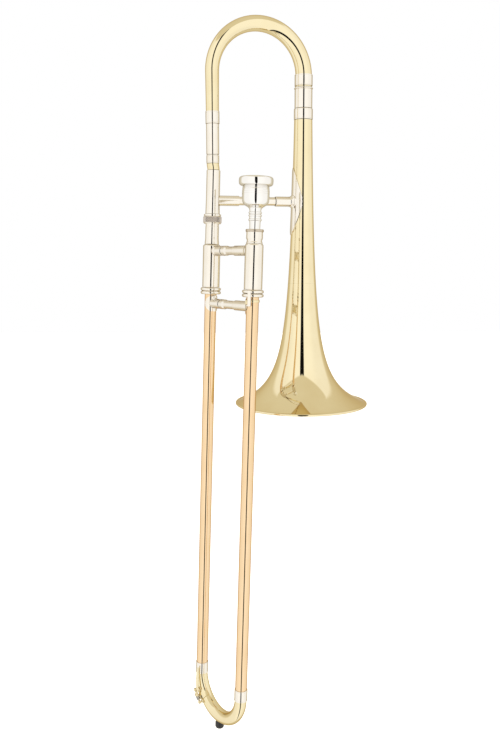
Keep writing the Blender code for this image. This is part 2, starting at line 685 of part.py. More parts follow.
def build_outer_slide(frames):
    lower = frames["lower"]
    upper = frames["upper"]
    for side, parent in (("lower", lower), ("upper", upper)):
        turned(side + "_outer_tube", parent, "gold_brass",
               straight(OUTER_TUBE_RADIUS, OUTER_TUBE_TOP, OUTER_TUBE_END),
               straight(OUTER_TUBE_BORE, OUTER_TUBE_TOP, OUTER_TUBE_END))
        ferrule = [(0.0078, CROOK_FERRULE_TOP), (0.0080, CROOK_FERRULE_TOP + 0.0003)]
        ferrule += [(0.0081, CROOK_FERRULE_END)]
        bore = [(OUTER_TUBE_RADIUS + GAP, CROOK_FERRULE_TOP), (OUTER_TUBE_RADIUS + GAP, CROOK_START - 0.0010)]
        bore += [(OUTER_TUBE_RADIUS + 2 * GAP, CROOK_FERRULE_END)]
        turned(side + "_crook_ferrule", parent, "nickel_silver", ferrule, bore)

    path = crook_path()
    bend = swept(path, crook_radii(path), crook_radii(path, -WALL), ROUND)
    add_object("crook", bend, lower, "lacquered_brass")

    catch = turned("lock_catch_ring", upper, "lacquered_brass",
                   [(0.0077, 0.1665), (0.0080, 0.1668), (0.0080, 0.1692), (0.0077, 0.1695)],
                   straight(OUTER_TUBE_RADIUS + GAP, 0.1665, 0.1695))
    open_side = block((-0.020, -0.020, 0.160), (-0.0013, 0.020, 0.180))
    combine(catch, open_side, "DIFFERENCE")
    angle = around_slide(CATCH_FROM_FRONT)
    combine(catch, tab_at(angle, 0.0077, 0.0104, 0.1669, 0.1691, 0.0022), "UNION")
    combine(catch, tab_at(angle, 0.0087, 0.0104, 0.1675, 0.1732, 0.0022), "UNION")

    left_end = 0.0232
    right_start = 0.0535
    flange = (0.0098, oval_reach)
    brace_socket("outer_brace_lower_socket", lower, OUTER_TUBE_RADIUS, OUTER_TUBE_RADIUS, left_end,
                 OUTER_BRACE_DOWN, direction=1, flange=flange)
    brace_rod("outer_brace_rod", lower, left_end, right_start, OUTER_BRACE_DOWN, shoulder_end=0.0315)
    brace_socket("outer_brace_upper_socket", upper, OUTER_TUBE_RADIUS, OUTER_TUBE_RADIUS,
                 SLIDE_WIDTH - right_start, OUTER_BRACE_DOWN, direction=-1, flange=flange)

    base = BRACE_SOCKET_RADIUS + GAP
    outline = [(0.0, base), (0.0022, base), (0.0022, base + 0.0010), (0.0033, base + 0.0014)]
    outline += [(0.0033, base + 0.0042), (0.0026, base + 0.0052), (0.0, base + 0.0056)]
    place = Matrix.Translation((KNOB_DISTANCE, 0, OUTER_BRACE_DOWN)) @ Matrix.Rotation(pi + KNOB_TILT, 4, "X")
    add_object("brace_stop_knob", moved(lathe(outline, ROUND), place), lower, "nickel_silver")


def build_bumper(frames):
    """Rubber foot on a stud at the lowest point of the crook."""
    lower = frames["lower"]
    path = crook_path()
    near_crook = solid_wire(path, crook_radii(path, GAP), 2 * ROUND)
    bottom = CROOK_START + CROOK_DEPTH + CROOK_TUBE_RADIUS + CROOK_TUBE_SWELL
    centre = Matrix.Translation((CROOK_RADIUS, 0, bottom))
    stud = [(0.0, -0.0030), (0.0024, -0.0030), (0.0024, 0.0052), (0.0, 0.0052)]
    post = add_object("bumper_post", moved(lathe(stud, ROUND), centre), lower, "lacquered_brass")
    combine(post, near_crook.copy(), "DIFFERENCE")
    foot = [(0.0027, -0.0030), (0.0050, -0.0030), (0.0056, 0.0010), (0.0056, 0.0058)]
    foot += arc((0.0026, 0.0058), 0.0030, 0, 90, 3)
    foot += [(0.0, 0.0088), (0.0, 0.0055), (0.0027, 0.0055)]
    rubber = add_object("rubber_bumper", moved(lathe(foot, ROUND_LARGE), centre), lower, "rubber")
    combine(rubber, near_crook, "DIFFERENCE")


# ---------------------------------------------------------------- water key
def crook_place(distance, turn):
    """Matrix on the lower half of the crook: +Z along the tube, +X out of it at angle `turn`.

    `distance` is measured along the tube from the start of the bend, and is negative on the straight
    tube before it.  +Y points back towards the bend's outer side."""
    mean_radius = (CROOK_RADIUS + CROOK_DEPTH) / 2
    angle = max(distance, 0.0) / mean_radius
    centre = crook_centre(angle) + Vector((0, 0, min(distance, 0.0)))
    tangent = Vector((CROOK_RADIUS * sin(angle), 0, CROOK_DEPTH * cos(angle))).normalized()
    outward = Vector((-tangent.z, 0, tangent.x))
    side = tangent.cross(outward)
    matrix = Matrix((outward, side, tangent)).transposed().to_4x4()
    matrix.translation = centre
    return matrix @ Matrix.Rotation(-turn, 4, "Z")


def key_distance():
    """The hinge's place along the bend."""
    return KEY_CROOK_ANGLE * (CROOK_RADIUS + CROOK_DEPTH) / 2


def water_key_matrix():
    return crook_place(key_distance(), KEY_TURN)


def strip(rows, into_key):
    """A thin flat bar with rounded edges through rows of (distance from the hinge along the tube, angle
    round the tube, distance from the tube's axis, half width, half thickness)."""
    sides = 10
    bm = bmesh.new()
    rings = []
    for along, turn, away, half_width, half_thickness in rows:
        place = into_key @ crook_place(key_distance() + along, turn)
        ring = []
        for step in range(sides):
            angle = 2 * pi * step / sides
            corner = Vector((away + half_thickness * sin(angle), half_width * cos(angle), 0))
            ring.append(bm.verts.new(place @ corner))
        rings.append(ring)
    for first, second in zip(rings, rings[1:]):
        bridge(bm, first, second)
    bm.faces.new(list(reversed(rings[0])))
    bm.faces.new(rings[-1])
    return bm


def long_arm(into_key):
    """From the fingertip end, beside the ferrule and past the upper post, to the hinge."""
    beside_post = radians(21)
    rows = [(-KEY_TIP_DISTANCE, KEY_TIP_TURN, 0.0105, 0.0008, 0.0005)]
    rows.append((-KEY_TIP_DISTANCE + 0.0015, KEY_TIP_TURN - radians(1), 0.0105, 0.0014, 0.0006))
    rows.append((-0.0280, KEY_TURN + radians(30), 0.0108, 0.0018, 0.0006))
    rows.append((-0.0180, KEY_TURN + radians(26), 0.0116, 0.0020, 0.0007))
    rows.append((-0.0100, KEY_TURN + beside_post, 0.0125, 0.0020, 0.0007))
    rows.append((-0.0062, KEY_TURN + beside_post, 0.0129, 0.0020, 0.0007))
    rows.append((-0.0040, KEY_TURN + radians(12), 0.0134, 0.0018, 0.0007))
    rows.append((-0.0022, KEY_TURN, 0.0137, 0.0014, 0.0006))
    return strip(rows, into_key)


def short_arm(into_key):
    """A bow across the tube from the hinge to the cork's cup."""
    start = KEY_AXIS_DISTANCE + 0.0013
    end = 0.0131
    steps = 4
    bm = bmesh.new()
    rings = []
    for step in range(steps + 1):
        share = step / steps
        turn = KEY_TURN + (KEY_PAD_TURN - KEY_TURN) * share
        place = into_key @ crook_place(key_distance() - 0.0030 * (1 - share), turn)
        away = start + (end - start) * share
        ring = []
        for across, out in ((-0.0016, -0.0006), (0.0016, -0.0006), (0.0016, 0.0006), (-0.0016, 0.0006)):
            ring.append(bm.verts.new(place @ Vector((away + out, 0, across))))
        rings.append(ring)
    for first, second in zip(rings, rings[1:]):
        bridge(bm, first, second)
    bm.faces.new(list(reversed(rings[0])))
    bm.faces.new(rings[-1])
    return bm


def rod(radius, start, end):
    """A plain solid round bar along Z."""
    return lathe([(0.0, start), (radius, start), (radius, end), (0.0, end)], ROUND)


def build_key_saddle(key, near_crook, plate_surface, hinge):
    """Curved base plate on the tube, with two ball-headed posts that carry the hinge screw."""
    half_spacing = KEY_POST_SPACING / 2
    saddle = add_object("water_key_saddle", block((0.0015, -0.0095, -0.0045), (0.0120, 0.0038, 0.0045)),
                        key, "lacquered_brass")
    combine(saddle, plate_surface, "INTERSECT")
    for direction in (-1, 1):
        reach = direction * half_spacing
        outward = Matrix.Translation((0, 0, reach)) @ Matrix.Rotation(pi / 2, 4, "Y")
        post = [(0.0, 0.0060), (0.0019, 0.0060), (0.0019, 0.0088), (0.0012, 0.0100)]
        post += arc((0.0, KEY_AXIS_DISTANCE), KEY_POST_BALL_RADIUS, -50, 90, 5)
        combine(saddle, moved(lathe(post, ROUND), outward), "UNION")
        foot = block((0.0060, -0.0019, min(reach, 0.0)), (0.0092, 0.0019, max(reach, 0.0)))
        combine(saddle, foot, "UNION")
    combine(saddle, moved(rod(KEY_PIN_RADIUS + GAP, -0.012, 0.012), hinge), "DIFFERENCE")
    combine(saddle, near_crook, "DIFFERENCE")


def build_water_key(frames):
    key = frames["key"]
    into_key = water_key_matrix().inverted()
    path = crook_path()
    near_crook = moved(solid_wire(path, crook_radii(path, GAP), 3 * ROUND), into_key)
    plate_surface = moved(solid_wire(path, crook_radii(path, 0.0012), 3 * ROUND), into_key)
    hinge = Matrix.Translation((KEY_AXIS_DISTANCE, 0, 0))
    build_key_saddle(key, near_crook.copy(), plate_surface, hinge)

    head = KEY_POST_SPACING / 2 + KEY_POST_BALL_RADIUS + 0.0001
    screw = [(0.0, -head - 0.0006), (0.0013, -head - 0.0004), (0.0013, -head)]
    screw += [(KEY_PIN_RADIUS, -head), (KEY_PIN_RADIUS, head - 0.0006), (0.0, head - 0.0006)]
    add_object("water_key_screw", moved(lathe(screw, ROUND), hinge), key, "steel")

    barrel_half = KEY_POST_SPACING / 2 - KEY_POST_BALL_RADIUS - 2 * GAP
    outward = into_key @ crook_place(key_distance(), KEY_PAD_TURN) @ Matrix.Rotation(pi / 2, 4, "Y")
    lever = add_object("water_key_lever", moved(rod(KEY_BARREL_RADIUS, -barrel_half, barrel_half), hinge),
                       key, "lacquered_brass")
    combine(lever, long_arm(into_key), "UNION")
    combine(lever, short_arm(into_key), "UNION")
    cup = [(0.0, 0.0124), (0.0034, 0.0124), (0.0036, 0.0130), (0.0030, 0.0138), (0.0, 0.0140)]
    combine(lever, moved(lathe(cup, ROUND), outward), "UNION")
    combine(lever, moved(rod(KEY_PIN_RADIUS + GAP, -0.010, 0.010), hinge), "DIFFERENCE")

    cork = [(0.0, 0.0103), (0.0030, 0.0103), (0.0030, 0.0121), (0.0, 0.0121)]
    add_object("water_key_cork", moved(lathe(cork, ROUND), outward), key, "cork")
    spout = [(0.0034, 0.0060), (0.0034, 0.0086), (0.0026, 0.0090), (0.0026, 0.0100)]
    spout += [(0.0016, 0.0100), (0.0016, 0.0060)]
    nipple = add_object("water_key_spout", moved(lathe(spout, ROUND), outward), key, "nickel_silver")
    combine(nipple, near_crook, "DIFFERENCE")

    coil = []
    turns = 4
    steps_per_turn = 10
    for step in range(turns * steps_per_turn + 1):
        angle = 2 * pi * step / steps_per_turn
        along = 0.0002 + 0.0044 * step / (turns * steps_per_turn)
        coil.append(Vector((0.0023 * cos(angle), 0.0023 * sin(angle), along)))
    add_object("water_key_spring", moved(solid_wire(coil, [0.00028] * len(coil), 5), hinge), key, "steel")


def drill_water_hole():
    """The hole in the crook under the spout."""
    place = crook_place(key_distance(), KEY_PAD_TURN) @ Matrix.Rotation(pi / 2, 4, "Y")
    hole = [(0.0, 0.003), (0.0015, 0.003), (0.0015, 0.010), (0.0, 0.010)]
    combine(bpy.data.objects["crook"], moved(lathe(hole, ROUND), place), "DIFFERENCE")


def main():
    clear_scene()
    frames = make_frames()
    build_bell(frames)
    build_gooseneck(frames)
    build_bell_brace()
    build_lock_nut(frames)
    build_tuning_slide(frames)
    build_inner_slide(frames)
    build_slide_lock(frames)
    build_mouthpiece(frames)
    build_outer_slide(frames)
    build_bumper(frames)
    build_water_key(frames)
    drill_water_hole()


main()
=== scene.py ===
import json
from math import acos, atan2, cos, pi, radians, sin, sqrt

import bmesh
import bpy
from mathutils import Matrix, Vector


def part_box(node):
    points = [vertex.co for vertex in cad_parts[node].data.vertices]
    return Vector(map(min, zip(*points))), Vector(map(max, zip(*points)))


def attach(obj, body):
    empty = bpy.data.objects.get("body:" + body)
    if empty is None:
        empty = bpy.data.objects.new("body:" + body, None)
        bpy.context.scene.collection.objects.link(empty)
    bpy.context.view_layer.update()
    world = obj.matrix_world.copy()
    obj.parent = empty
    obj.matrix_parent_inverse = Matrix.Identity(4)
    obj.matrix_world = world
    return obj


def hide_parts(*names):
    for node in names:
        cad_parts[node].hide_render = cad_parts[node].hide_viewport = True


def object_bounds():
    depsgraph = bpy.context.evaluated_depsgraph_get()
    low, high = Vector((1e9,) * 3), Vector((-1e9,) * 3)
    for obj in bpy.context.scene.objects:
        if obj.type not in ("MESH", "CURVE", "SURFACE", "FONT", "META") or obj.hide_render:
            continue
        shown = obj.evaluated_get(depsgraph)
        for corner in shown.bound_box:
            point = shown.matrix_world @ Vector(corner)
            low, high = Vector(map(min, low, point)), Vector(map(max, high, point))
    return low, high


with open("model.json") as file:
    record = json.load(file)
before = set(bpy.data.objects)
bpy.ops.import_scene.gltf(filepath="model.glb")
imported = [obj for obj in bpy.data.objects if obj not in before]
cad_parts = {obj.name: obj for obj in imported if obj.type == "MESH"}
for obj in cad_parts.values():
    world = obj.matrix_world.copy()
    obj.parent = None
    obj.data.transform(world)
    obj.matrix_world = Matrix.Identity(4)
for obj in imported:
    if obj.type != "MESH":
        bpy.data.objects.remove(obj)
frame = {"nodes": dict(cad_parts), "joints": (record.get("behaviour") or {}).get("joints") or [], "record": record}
cad_low, cad_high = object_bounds()

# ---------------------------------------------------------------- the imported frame
NODES = frame["nodes"]
JOINTS = {joint["name"]: joint for joint in frame["joints"]}
BODIES = {}
for body_name, members in frame["record"]["behaviour"]["bodies"].items():
    for member in members:
        BODIES[member] = body_name


def place_along(origin, z_axis, x_hint):
    """Matrix at a point, with its Z along one direction and its X as near as it can be to another."""
    z_axis = Vector(z_axis).normalized()
    x_axis = Vector(x_hint)
    x_axis = (x_axis - x_axis.dot(z_axis) * z_axis).normalized()
    matrix = Matrix((x_axis, z_axis.cross(x_axis), z_axis)).transposed().to_4x4()
    matrix.translation = Vector(origin)
    return matrix


# Both slide tubes have their +Z down the slide and their +X from the lower tube to the upper tube.
# Slide parts are drawn for a nominal slide width, as in the CAD part, and their frames carry the scale.
SLIDE_WIDTH = 0.0862
LOWER_START = Vector(JOINTS["slide_swivel"]["pos_m"])
UPPER_START = Vector(JOINTS["slide_lock_turn"]["pos_m"])
DOWN = Vector(JOINTS["slide_lock_turn"]["axis"]).normalized()
SLIDE_SCALE = (UPPER_START - LOWER_START).length / SLIDE_WIDTH
LOWER = place_along(LOWER_START, DOWN, UPPER_START - LOWER_START) @ Matrix.Scale(SLIDE_SCALE, 4)
UPPER = place_along(UPPER_START, DOWN, UPPER_START - LOWER_START) @ Matrix.Scale(SLIDE_SCALE, 4)

# The tuning bow's plane passes through the bell's axis and the gooseneck's leg.
BELL = Matrix.Identity(4)
leg_low, leg_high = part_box("gooseneck_inner_leg")
LEG_SPACING = Vector(((leg_low.x + leg_high.x) / 2, (leg_low.y + leg_high.y) / 2)).length
BOW_PLANE_ANGLE = atan2(-(leg_low.y + leg_high.y), -(leg_low.x + leg_high.x))
BOW = Matrix.Rotation(BOW_PLANE_ANGLE, 4, "Z")
LEG = BOW @ Matrix.Translation((-LEG_SPACING, 0, 0))


def span(node, place=BELL):
    """Lowest and highest point of a CAD node along a frame's Z axis, and its greatest radius about it."""
    into = place.inverted()
    points = [into @ vertex.co for vertex in NODES[node].data.vertices]
    heights = [point.z for point in points]
    radius = max(sqrt(point.x ** 2 + point.y ** 2) for point in points)
    return min(heights), max(heights), radius


# ---------------------------------------------------------------- sizes, in metres
GAP = 0.0003
WALL = 0.0006
TURNED_SIDES = 72              # how finely each kind of turned piece is divided
STEM_SIDES = 96
RING_SIDES = 96
BELL_SIDES = 144
FILLET = 0.00022               # rounding of an ordinary turned edge

BELL_RIM_RADIUS = 0.08255
BELL_CONE_RADIUS = 0.0067      # the horn formula: a gentle cone plus a power-law flare
BELL_CONE_SLOPE = 0.0020
BELL_FLARE_OFFSET = 0.0298
BELL_FLARE_POWER = 1.084
RIM_BEAD_RADIUS = 0.0015
BELL_SEAM_HEIGHT = span("bell_flare")[1]

OUTER_TUBE_RADIUS = 0.0072
INNER_TUBE_RADIUS = 0.0060
INNER_TUBE_BORE = 0.0056
BARREL_RADIUS = 0.01055
END_RING_END = span("lower_barrel_end_ring", LOWER)[1]
END_RING_RADIUS = 0.0119

BRACE_SOCKET_RADIUS = 0.0059
BRACE_ROD_RADIUS = 0.0050
SOCKET_DEPTH = 0.0060

BEAD_SPACING = 0.0042          # of the beads on the barrels' end rings and on the slide lock

CROOK_START = 0.6530
CROOK_DEPTH = 0.0420
CROOK_RADIUS = SLIDE_WIDTH / 2
CROOK_TUBE_RADIUS = 0.0072
CROOK_TUBE_SWELL = 0.0012


def brace_height(node, place):
    """Height of a brace's centre line in a frame, halfway up its rod."""
    low, high, _ = span(node, place)
    return (low + high) / 2


BELL_BRACE_HEIGHT = brace_height("bell_brace_rod", BELL)
drop = LOWER_START.z - BELL_BRACE_HEIGHT
neck_at_brace = LOWER_START + DOWN * (drop / -DOWN.z)
BRACE_LENGTH = sqrt(neck_at_brace.x ** 2 + neck_at_brace.y ** 2)
BRACE_ANGLE = atan2(-neck_at_brace.y, -neck_at_brace.x)
INNER_BRACE_DOWN = brace_height("inner_brace_rod", LOWER)
OUTER_BRACE_DOWN = brace_height("outer_brace_rod", LOWER)


# ---------------------------------------------------------------- materials
def set_inputs(node, values):
    for name, value in values.items():
        node.inputs[name].default_value = value


def new_node(tree, kind, inputs=None, **properties):
    """A node with some of its inputs and properties set."""
    node = tree.nodes.new(kind)
    for key, value in properties.items():
        setattr(node, key, value)
    set_inputs(node, inputs or {})
    return node


def link(tree, source, output, target, target_input):
    tree.links.new(source.outputs[output], target.inputs[target_input])


def noise(tree, stretch, scale, detail=3.0, roughness=0.5):
    """Noise in the piece's own coordinates, stretched along some of its axes."""
    place = new_node(tree, "ShaderNodeTexCoord")
    mapping = new_node(tree, "ShaderNodeMapping", {"Scale": stretch})
    inputs = {"Scale": scale, "Detail": detail, "Roughness": roughness}
    texture = new_node(tree, "ShaderNodeTexNoise", inputs)
    link(tree, place, "Object", mapping, "Vector")
    link(tree, mapping, "Vector", texture, "Vector")
    return texture


def ramp(tree, source, low, high, low_value, high_value):
    """Map a texture's value from low..high onto low_value..high_value."""
    inputs = {"From Min": low, "From Max": high, "To Min": low_value, "To Max": high_value}
    node = new_node(tree, "ShaderNodeMapRange", inputs)
    link(tree, source, "Fac", node, "Value")
    return node


def tint(tree, source, low, high, first, second):
    """Blend two colours by a texture's value between low and high."""
    node = new_node(tree, "ShaderNodeValToRGB")
    for element, position, colour in zip(node.color_ramp.elements, (low, high), (first, second)):
        element.position = position
        element.color = (*colour, 1.0)
    link(tree, source, "Fac", node, "Fac")
    return node


def bump(tree, source, strength, distance, shader):
    inputs = {"Strength": strength, "Distance": distance}
    node = new_node(tree, "ShaderNodeBump", inputs)
    link(tree, source, "Fac", node, "Height")
    link(tree, node, "Normal", shader, "Normal")


def new_material(name):
    """A material, its node tree and its shader."""
    material = bpy.data.materials.new(name)
    material.use_nodes = True
    return material, material.node_tree, material.node_tree.nodes["Principled BSDF"]


LINES_ALONG = (1.0, 1.0, 0.02)     # draw lines, which run along the piece's Z axis
LINES_AROUND = (0.03, 0.03, 1.0)   # turning lines, which run round it
NO_LINES = (1.0, 1.0, 1.0)


def metal(name, colour, edge_colour, roughness, stretch, line_scale=2600.0, line_depth=4e-7,
          lacquer=0.0, toning=0.05):
    """Polished metal: faint handling marks in the roughness, fine tool lines in the bump and a slow
    change of colour, with clear lacquer over it where the real piece has it."""
    material, tree, shader = new_material(name)
    set_inputs(shader, {"Metallic": 1.0, "Specular Tint": (*edge_colour, 1.0),
                        "Coat Weight": lacquer, "Coat Roughness": 0.03, "Coat IOR": 1.45})

    warming = (0.6, 1.0, 1.7)          # toning takes most from the blue
    toned = tuple(channel * (1.0 - toning * weight) for channel, weight in zip(colour, warming))
    slow = noise(tree, NO_LINES, scale=28.0, detail=4.0, roughness=0.55)
    link(tree, tint(tree, slow, 0.42, 0.68, colour, toned), "Color", shader, "Base Color")

    wear = 0.03
    marks = noise(tree, NO_LINES, scale=120.0, detail=5.0, roughness=0.6)
    rough = ramp(tree, marks, 0.45, 0.75, roughness, roughness + wear)
    link(tree, rough, "Result", shader, "Roughness")

    lines = noise(tree, stretch, line_scale, detail=2.0)
    bump(tree, lines, 0.35, line_depth, shader)
    return material


def plain(name, first, second, roughness, grain_scale, grain_depth):
    """A non-metal with grain in its colour, roughness and bump."""
    material, tree, shader = new_material(name)
    grain = noise(tree, NO_LINES, grain_scale, detail=6.0, roughness=0.65)
    link(tree, tint(tree, grain, 0.45, 0.62, first, second), "Color", shader, "Base Color")
    rough = ramp(tree, grain, 0.3, 0.7, roughness, roughness + 0.12)
    link(tree, rough, "Result", shader, "Roughness")
    bump(tree, grain, 0.6, grain_depth, shader)
    return material


YELLOW = (0.87, 0.77, 0.51)
YELLOW_EDGE = (0.68, 0.55, 0.34)
GOLD = (0.89, 0.67, 0.42)
GOLD_EDGE = (0.66, 0.40, 0.22)
NICKEL = (0.89, 0.85, 0.775)
NICKEL_EDGE = (0.56, 0.49, 0.41)
SILVER = (0.90, 0.89, 0.865)
SILVER_EDGE = (0.66, 0.63, 0.59)

# Each metal's colour, edge colour, roughness, line direction, line scale, line depth, lacquer and toning.
METALS = {
    "bell_brass": (YELLOW, YELLOW_EDGE, 0.03, LINES_AROUND, 900.0, 3e-7, 0.3),
    "tube_brass": (YELLOW, YELLOW_EDGE, 0.035, LINES_ALONG, 1800.0, 3e-7, 0.3),
    "small_brass": (YELLOW, YELLOW_EDGE, 0.08, NO_LINES, 1400.0, 1e-6, 0.3),
    "slide_brass": (GOLD, GOLD_EDGE, 0.04, LINES_ALONG, 1800.0, 3e-7, 0.3),
    "nickel_tube": (NICKEL, NICKEL_EDGE, 0.05, LINES_ALONG, 1800.0),
    "nickel_turned": (NICKEL, NICKEL_EDGE, 0.07, LINES_AROUND),
    "nickel_brushed": ((0.62, 0.54, 0.43), NICKEL_EDGE, 0.26, NO_LINES, 1500.0, 4e-6),
    "nickel_knurled": ((0.62, 0.56, 0.50), NICKEL_EDGE, 0.42, NO_LINES, 1500.0),
    # painted shade: a near-black metal laid on the brace rods at their seams, where the narrow gaps beside the
    # sockets fall into shade
    "seam_painted_shade": ((0.12, 0.105, 0.085), (0.10, 0.09, 0.07), 0.45, NO_LINES, 1500.0),
    "silver": (SILVER, SILVER_EDGE, 0.03, LINES_AROUND, 2600.0, 4e-7, 0.0, 0.03),
    "steel": ((0.56, 0.56, 0.58), (0.4, 0.4, 0.42), 0.18, LINES_AROUND),
}
MATERIALS = {name: metal(name, *settings) for name, settings in METALS.items()}
MATERIALS["cork"] = plain("cork", (0.55, 0.36, 0.19), (0.28, 0.16, 0.08), 0.72, 900.0, 0.0002)
MATERIALS["rubber"] = plain("rubber", (0.010, 0.010, 0.010), (0.022, 0.021, 0.020), 0.42, 1100.0, 0.00006)


# ---------------------------------------------------------------- mesh helpers
def lathe(outline, sides):
    """Turn a closed outline of (radius, height) points about the local Z axis."""
    bm = bmesh.new()
    verts = [bm.verts.new((radius, 0.0, height)) for radius, height in outline]
    edges = [bm.edges.new((a, b)) for a, b in zip(verts, verts[1:] + verts[:1]) if a.co.x + b.co.x > 0]
    bmesh.ops.spin(bm, geom=verts + edges, cent=(0, 0, 0), axis=(0, 0, 1),
                   angle=2 * pi, steps=sides, use_merge=True)
    return bm


def straight(radius, start, end):
    return [(radius, start), (radius, end)]


def arc(centre, radius, start, end, steps):
    """Points on a circular arc in an outline's plane; angles in degrees from the +radius side."""
    points = []
    for step in range(steps + 1):
        angle = radians(start + (end - start) * step / steps)
        points.append((centre[0] + radius * cos(angle), centre[1] + radius * sin(angle)))
    return points


def bead(radius, height, size, steps=14):
    """Half-round ridge on a cylinder: `radius` is the cylinder's, `size` the ridge's own."""
    return arc((radius, height), size, -90, 90, steps)


def ring_beads(radius, height, count):
    """Neighbouring beads on a barrel's end ring, upwards from one height."""
    outline = []
    for index in range(count):
        outline += bead(radius - 0.0014, height + BEAD_SPACING * (index + 0.5), 0.0020)
    return outline


def groove(radius, height, half_width, depth):
    """Points of a fine round-bottomed groove in a cylinder."""
    return [(radius, height - half_width), (radius - depth, height - half_width / 2),
            (radius - depth, height + half_width / 2), (radius, height + half_width)]


def soften(outline, radius=FILLET, steps=3):
    """Round every corner of an open outline and add a support point beside each rounding."""
    points = [Vector(point) for point in outline]
    result = [points[0]]
    for before, corner, after in zip(points, points[1:], points[2:]):
        to_before = before - corner
        to_after = after - corner
        reach = min(radius, to_before.length * 0.45, to_after.length * 0.45)
        if reach < 1e-5 or to_before.angle(to_after) > radians(168):
            result.append(corner)
            continue
        start = corner + to_before.normalized() * reach
        end = corner + to_after.normalized() * reach
        if to_before.length > 4 * radius:
            result.append(corner + to_before.normalized() * reach * 2)
        for step in range(steps + 1):
            share = step / steps
            first = start.lerp(corner, share)
            second = corner.lerp(end, share)
            result.append(first.lerp(second, share))
        if to_after.length > 4 * radius:
            result.append(corner + to_after.normalized() * reach * 2)
    result.append(points[-1])
    return [tuple(point) for point in result]


def smooth_outline(outline, steps=6):
    """A Catmull-Rom curve through an outline's points, for flowing turned shapes."""
    points = [Vector(point) for point in outline]
    padded = [2 * points[0] - points[1]] + points + [2 * points[-1] - points[-2]]
    result = []
    for p0, p1, p2, p3 in zip(padded, padded[1:], padded[2:], padded[3:]):
        for step in range(steps):
            t = step / steps
            point = 0.5 * (2 * p1 + (p2 - p0) * t + (2 * p0 - 5 * p1 + 4 * p2 - p3) * t * t
                           + (3 * p1 - p0 - 3 * p2 + p3) * t * t * t)
            result.append(tuple(point))
    result.append(tuple(points[-1]))
    return result


def place_ring(bm, centre, across, up, radius, sides):
    ring = []
    for step in range(sides):
        angle = 2 * pi * step / sides
        ring.append(bm.verts.new(centre + radius * (cos(angle) * across + sin(angle) * up)))
    return ring


def bridge(bm, first, second):
    for step in range(len(first)):
        after = (step + 1) % len(first)
        bm.faces.new((first[step], first[after], second[after], second[step]))


def skin(bm, rings):
    """Faces along a row of rings, and a cap at each end."""
    for first, second in zip(rings, rings[1:]):
        bridge(bm, first, second)
    bm.faces.new(list(reversed(rings[0])))
    bm.faces.new(rings[-1])
    return bm


def ring_frames(path):
    """Two directions across a path at each of its points, without twist."""
    across = None
    frames = []
    for index in range(len(path)):
        before = path[max(index - 1, 0)]
        after = path[min(index + 1, len(path) - 1)]
        tangent = (after - before).normalized()
        if across is None:
            across = tangent.orthogonal()
        across = (across - across.dot(tangent) * tangent).normalized()
        frames.append((across, tangent.cross(across)))
    return frames


def swept(path, outer_radii, inner_radii, sides):
    """A hollow tube along a path, with an outer and an inner radius at each point."""
    bm = bmesh.new()
    frames = ring_frames(path)
    shells = []
    for radii in (outer_radii, inner_radii):
        rings = [place_ring(bm, point, across, up, radius, sides)
                 for point, (across, up), radius in zip(path, frames, radii)]
        for first, second in zip(rings, rings[1:]):
            bridge(bm, first, second)
        shells.append(rings)
    bridge(bm, shells[0][0], shells[1][0])
    bridge(bm, shells[0][-1], shells[1][-1])
    return bm


def solid_wire(path, radii, sides):
    """A solid round bar along a path, with a radius at each point."""
    bm = bmesh.new()
    return skin(bm, [place_ring(bm, point, across, up, radius, sides)
                     for point, (across, up), radius in zip(path, ring_frames(path), radii)])


def moved(bm, matrix):
    bmesh.ops.transform(bm, matrix=matrix, verts=bm.verts)
    return bm


def block(low, high, rounding=0.0):
    """A rectangular block between two corners, with rounded edges."""
    bm = bmesh.new()
    size = Vector(high) - Vector(low)
    centre = (Vector(high) + Vector(low)) / 2
    bmesh.ops.create_cube(bm, size=1.0, matrix=Matrix.Translation(centre) @ Matrix.Diagonal((*size, 1.0)))
    if rounding:
        bmesh.ops.bevel(bm, geom=bm.edges[:], offset=rounding, segments=4, profile=0.5, affect="EDGES")
    return bm


SMOOTH_BELOW = radians(38)


def mesh_object(name, bm, matrix):
    bmesh.ops.remove_doubles(bm, verts=bm.verts, dist=1e-7)
    bmesh.ops.recalc_face_normals(bm, faces=bm.faces)
    mesh = bpy.data.meshes.new(name)
    bm.to_mesh(mesh)
    bm.free()
    mesh.shade_smooth()
    mesh.set_sharp_from_angle(angle=SMOOTH_BELOW)
    obj = bpy.data.objects.new(name, mesh)
    bpy.context.scene.collection.objects.link(obj)
    obj.matrix_world = matrix
    return obj


def boolean(obj, bm, operation):
    """Combine a piece with another mesh in its own frame, at once."""
    helper = mesh_object("helper", bm, obj.matrix_world)
    modifier = obj.modifiers.new(operation, "BOOLEAN")
    modifier.operation = operation
    modifier.object = helper
    bpy.context.view_layer.update()
    depsgraph = bpy.context.evaluated_depsgraph_get()
    result = bpy.data.meshes.new_from_object(obj.evaluated_get(depsgraph))
    obj.modifiers.clear()
    obj.data = result
    bpy.data.objects.remove(helper)
    result.shade_smooth()
    result.set_sharp_from_angle(angle=SMOOTH_BELOW)


def stand_for(node, obj, material):
    """Finish a piece: its material, the CAD body that it rides on and the CAD node that it replaces."""
    obj.data.materials.clear()
    obj.data.materials.append(MATERIALS[material])
    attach(obj, BODIES[node])
    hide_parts(node)
    return obj


def piece(node, bm, place, material):
    return stand_for(node, mesh_object(node + "_fine", bm, place), material)


def repaint(obj, material, chosen):
    """Give a second material to the faces whose centres are chosen."""
    obj.data.materials.append(MATERIALS[material])
    for face in obj.data.polygons:
        if chosen(face.center):
            face.material_index = 1


def turned(node, place, material, outer, inner=(), sides=TURNED_SIDES, fillet=FILLET):
    """A turned piece: its outer outline from end to end, and its bore in the same direction."""
    outline = soften(list(outer), fillet)
    if inner:
        closing = [outline[-1]] + list(reversed(inner)) + [outline[0]]
        outline += closing[1:-1]
    return piece(node, lathe(outline, sides), place, material)


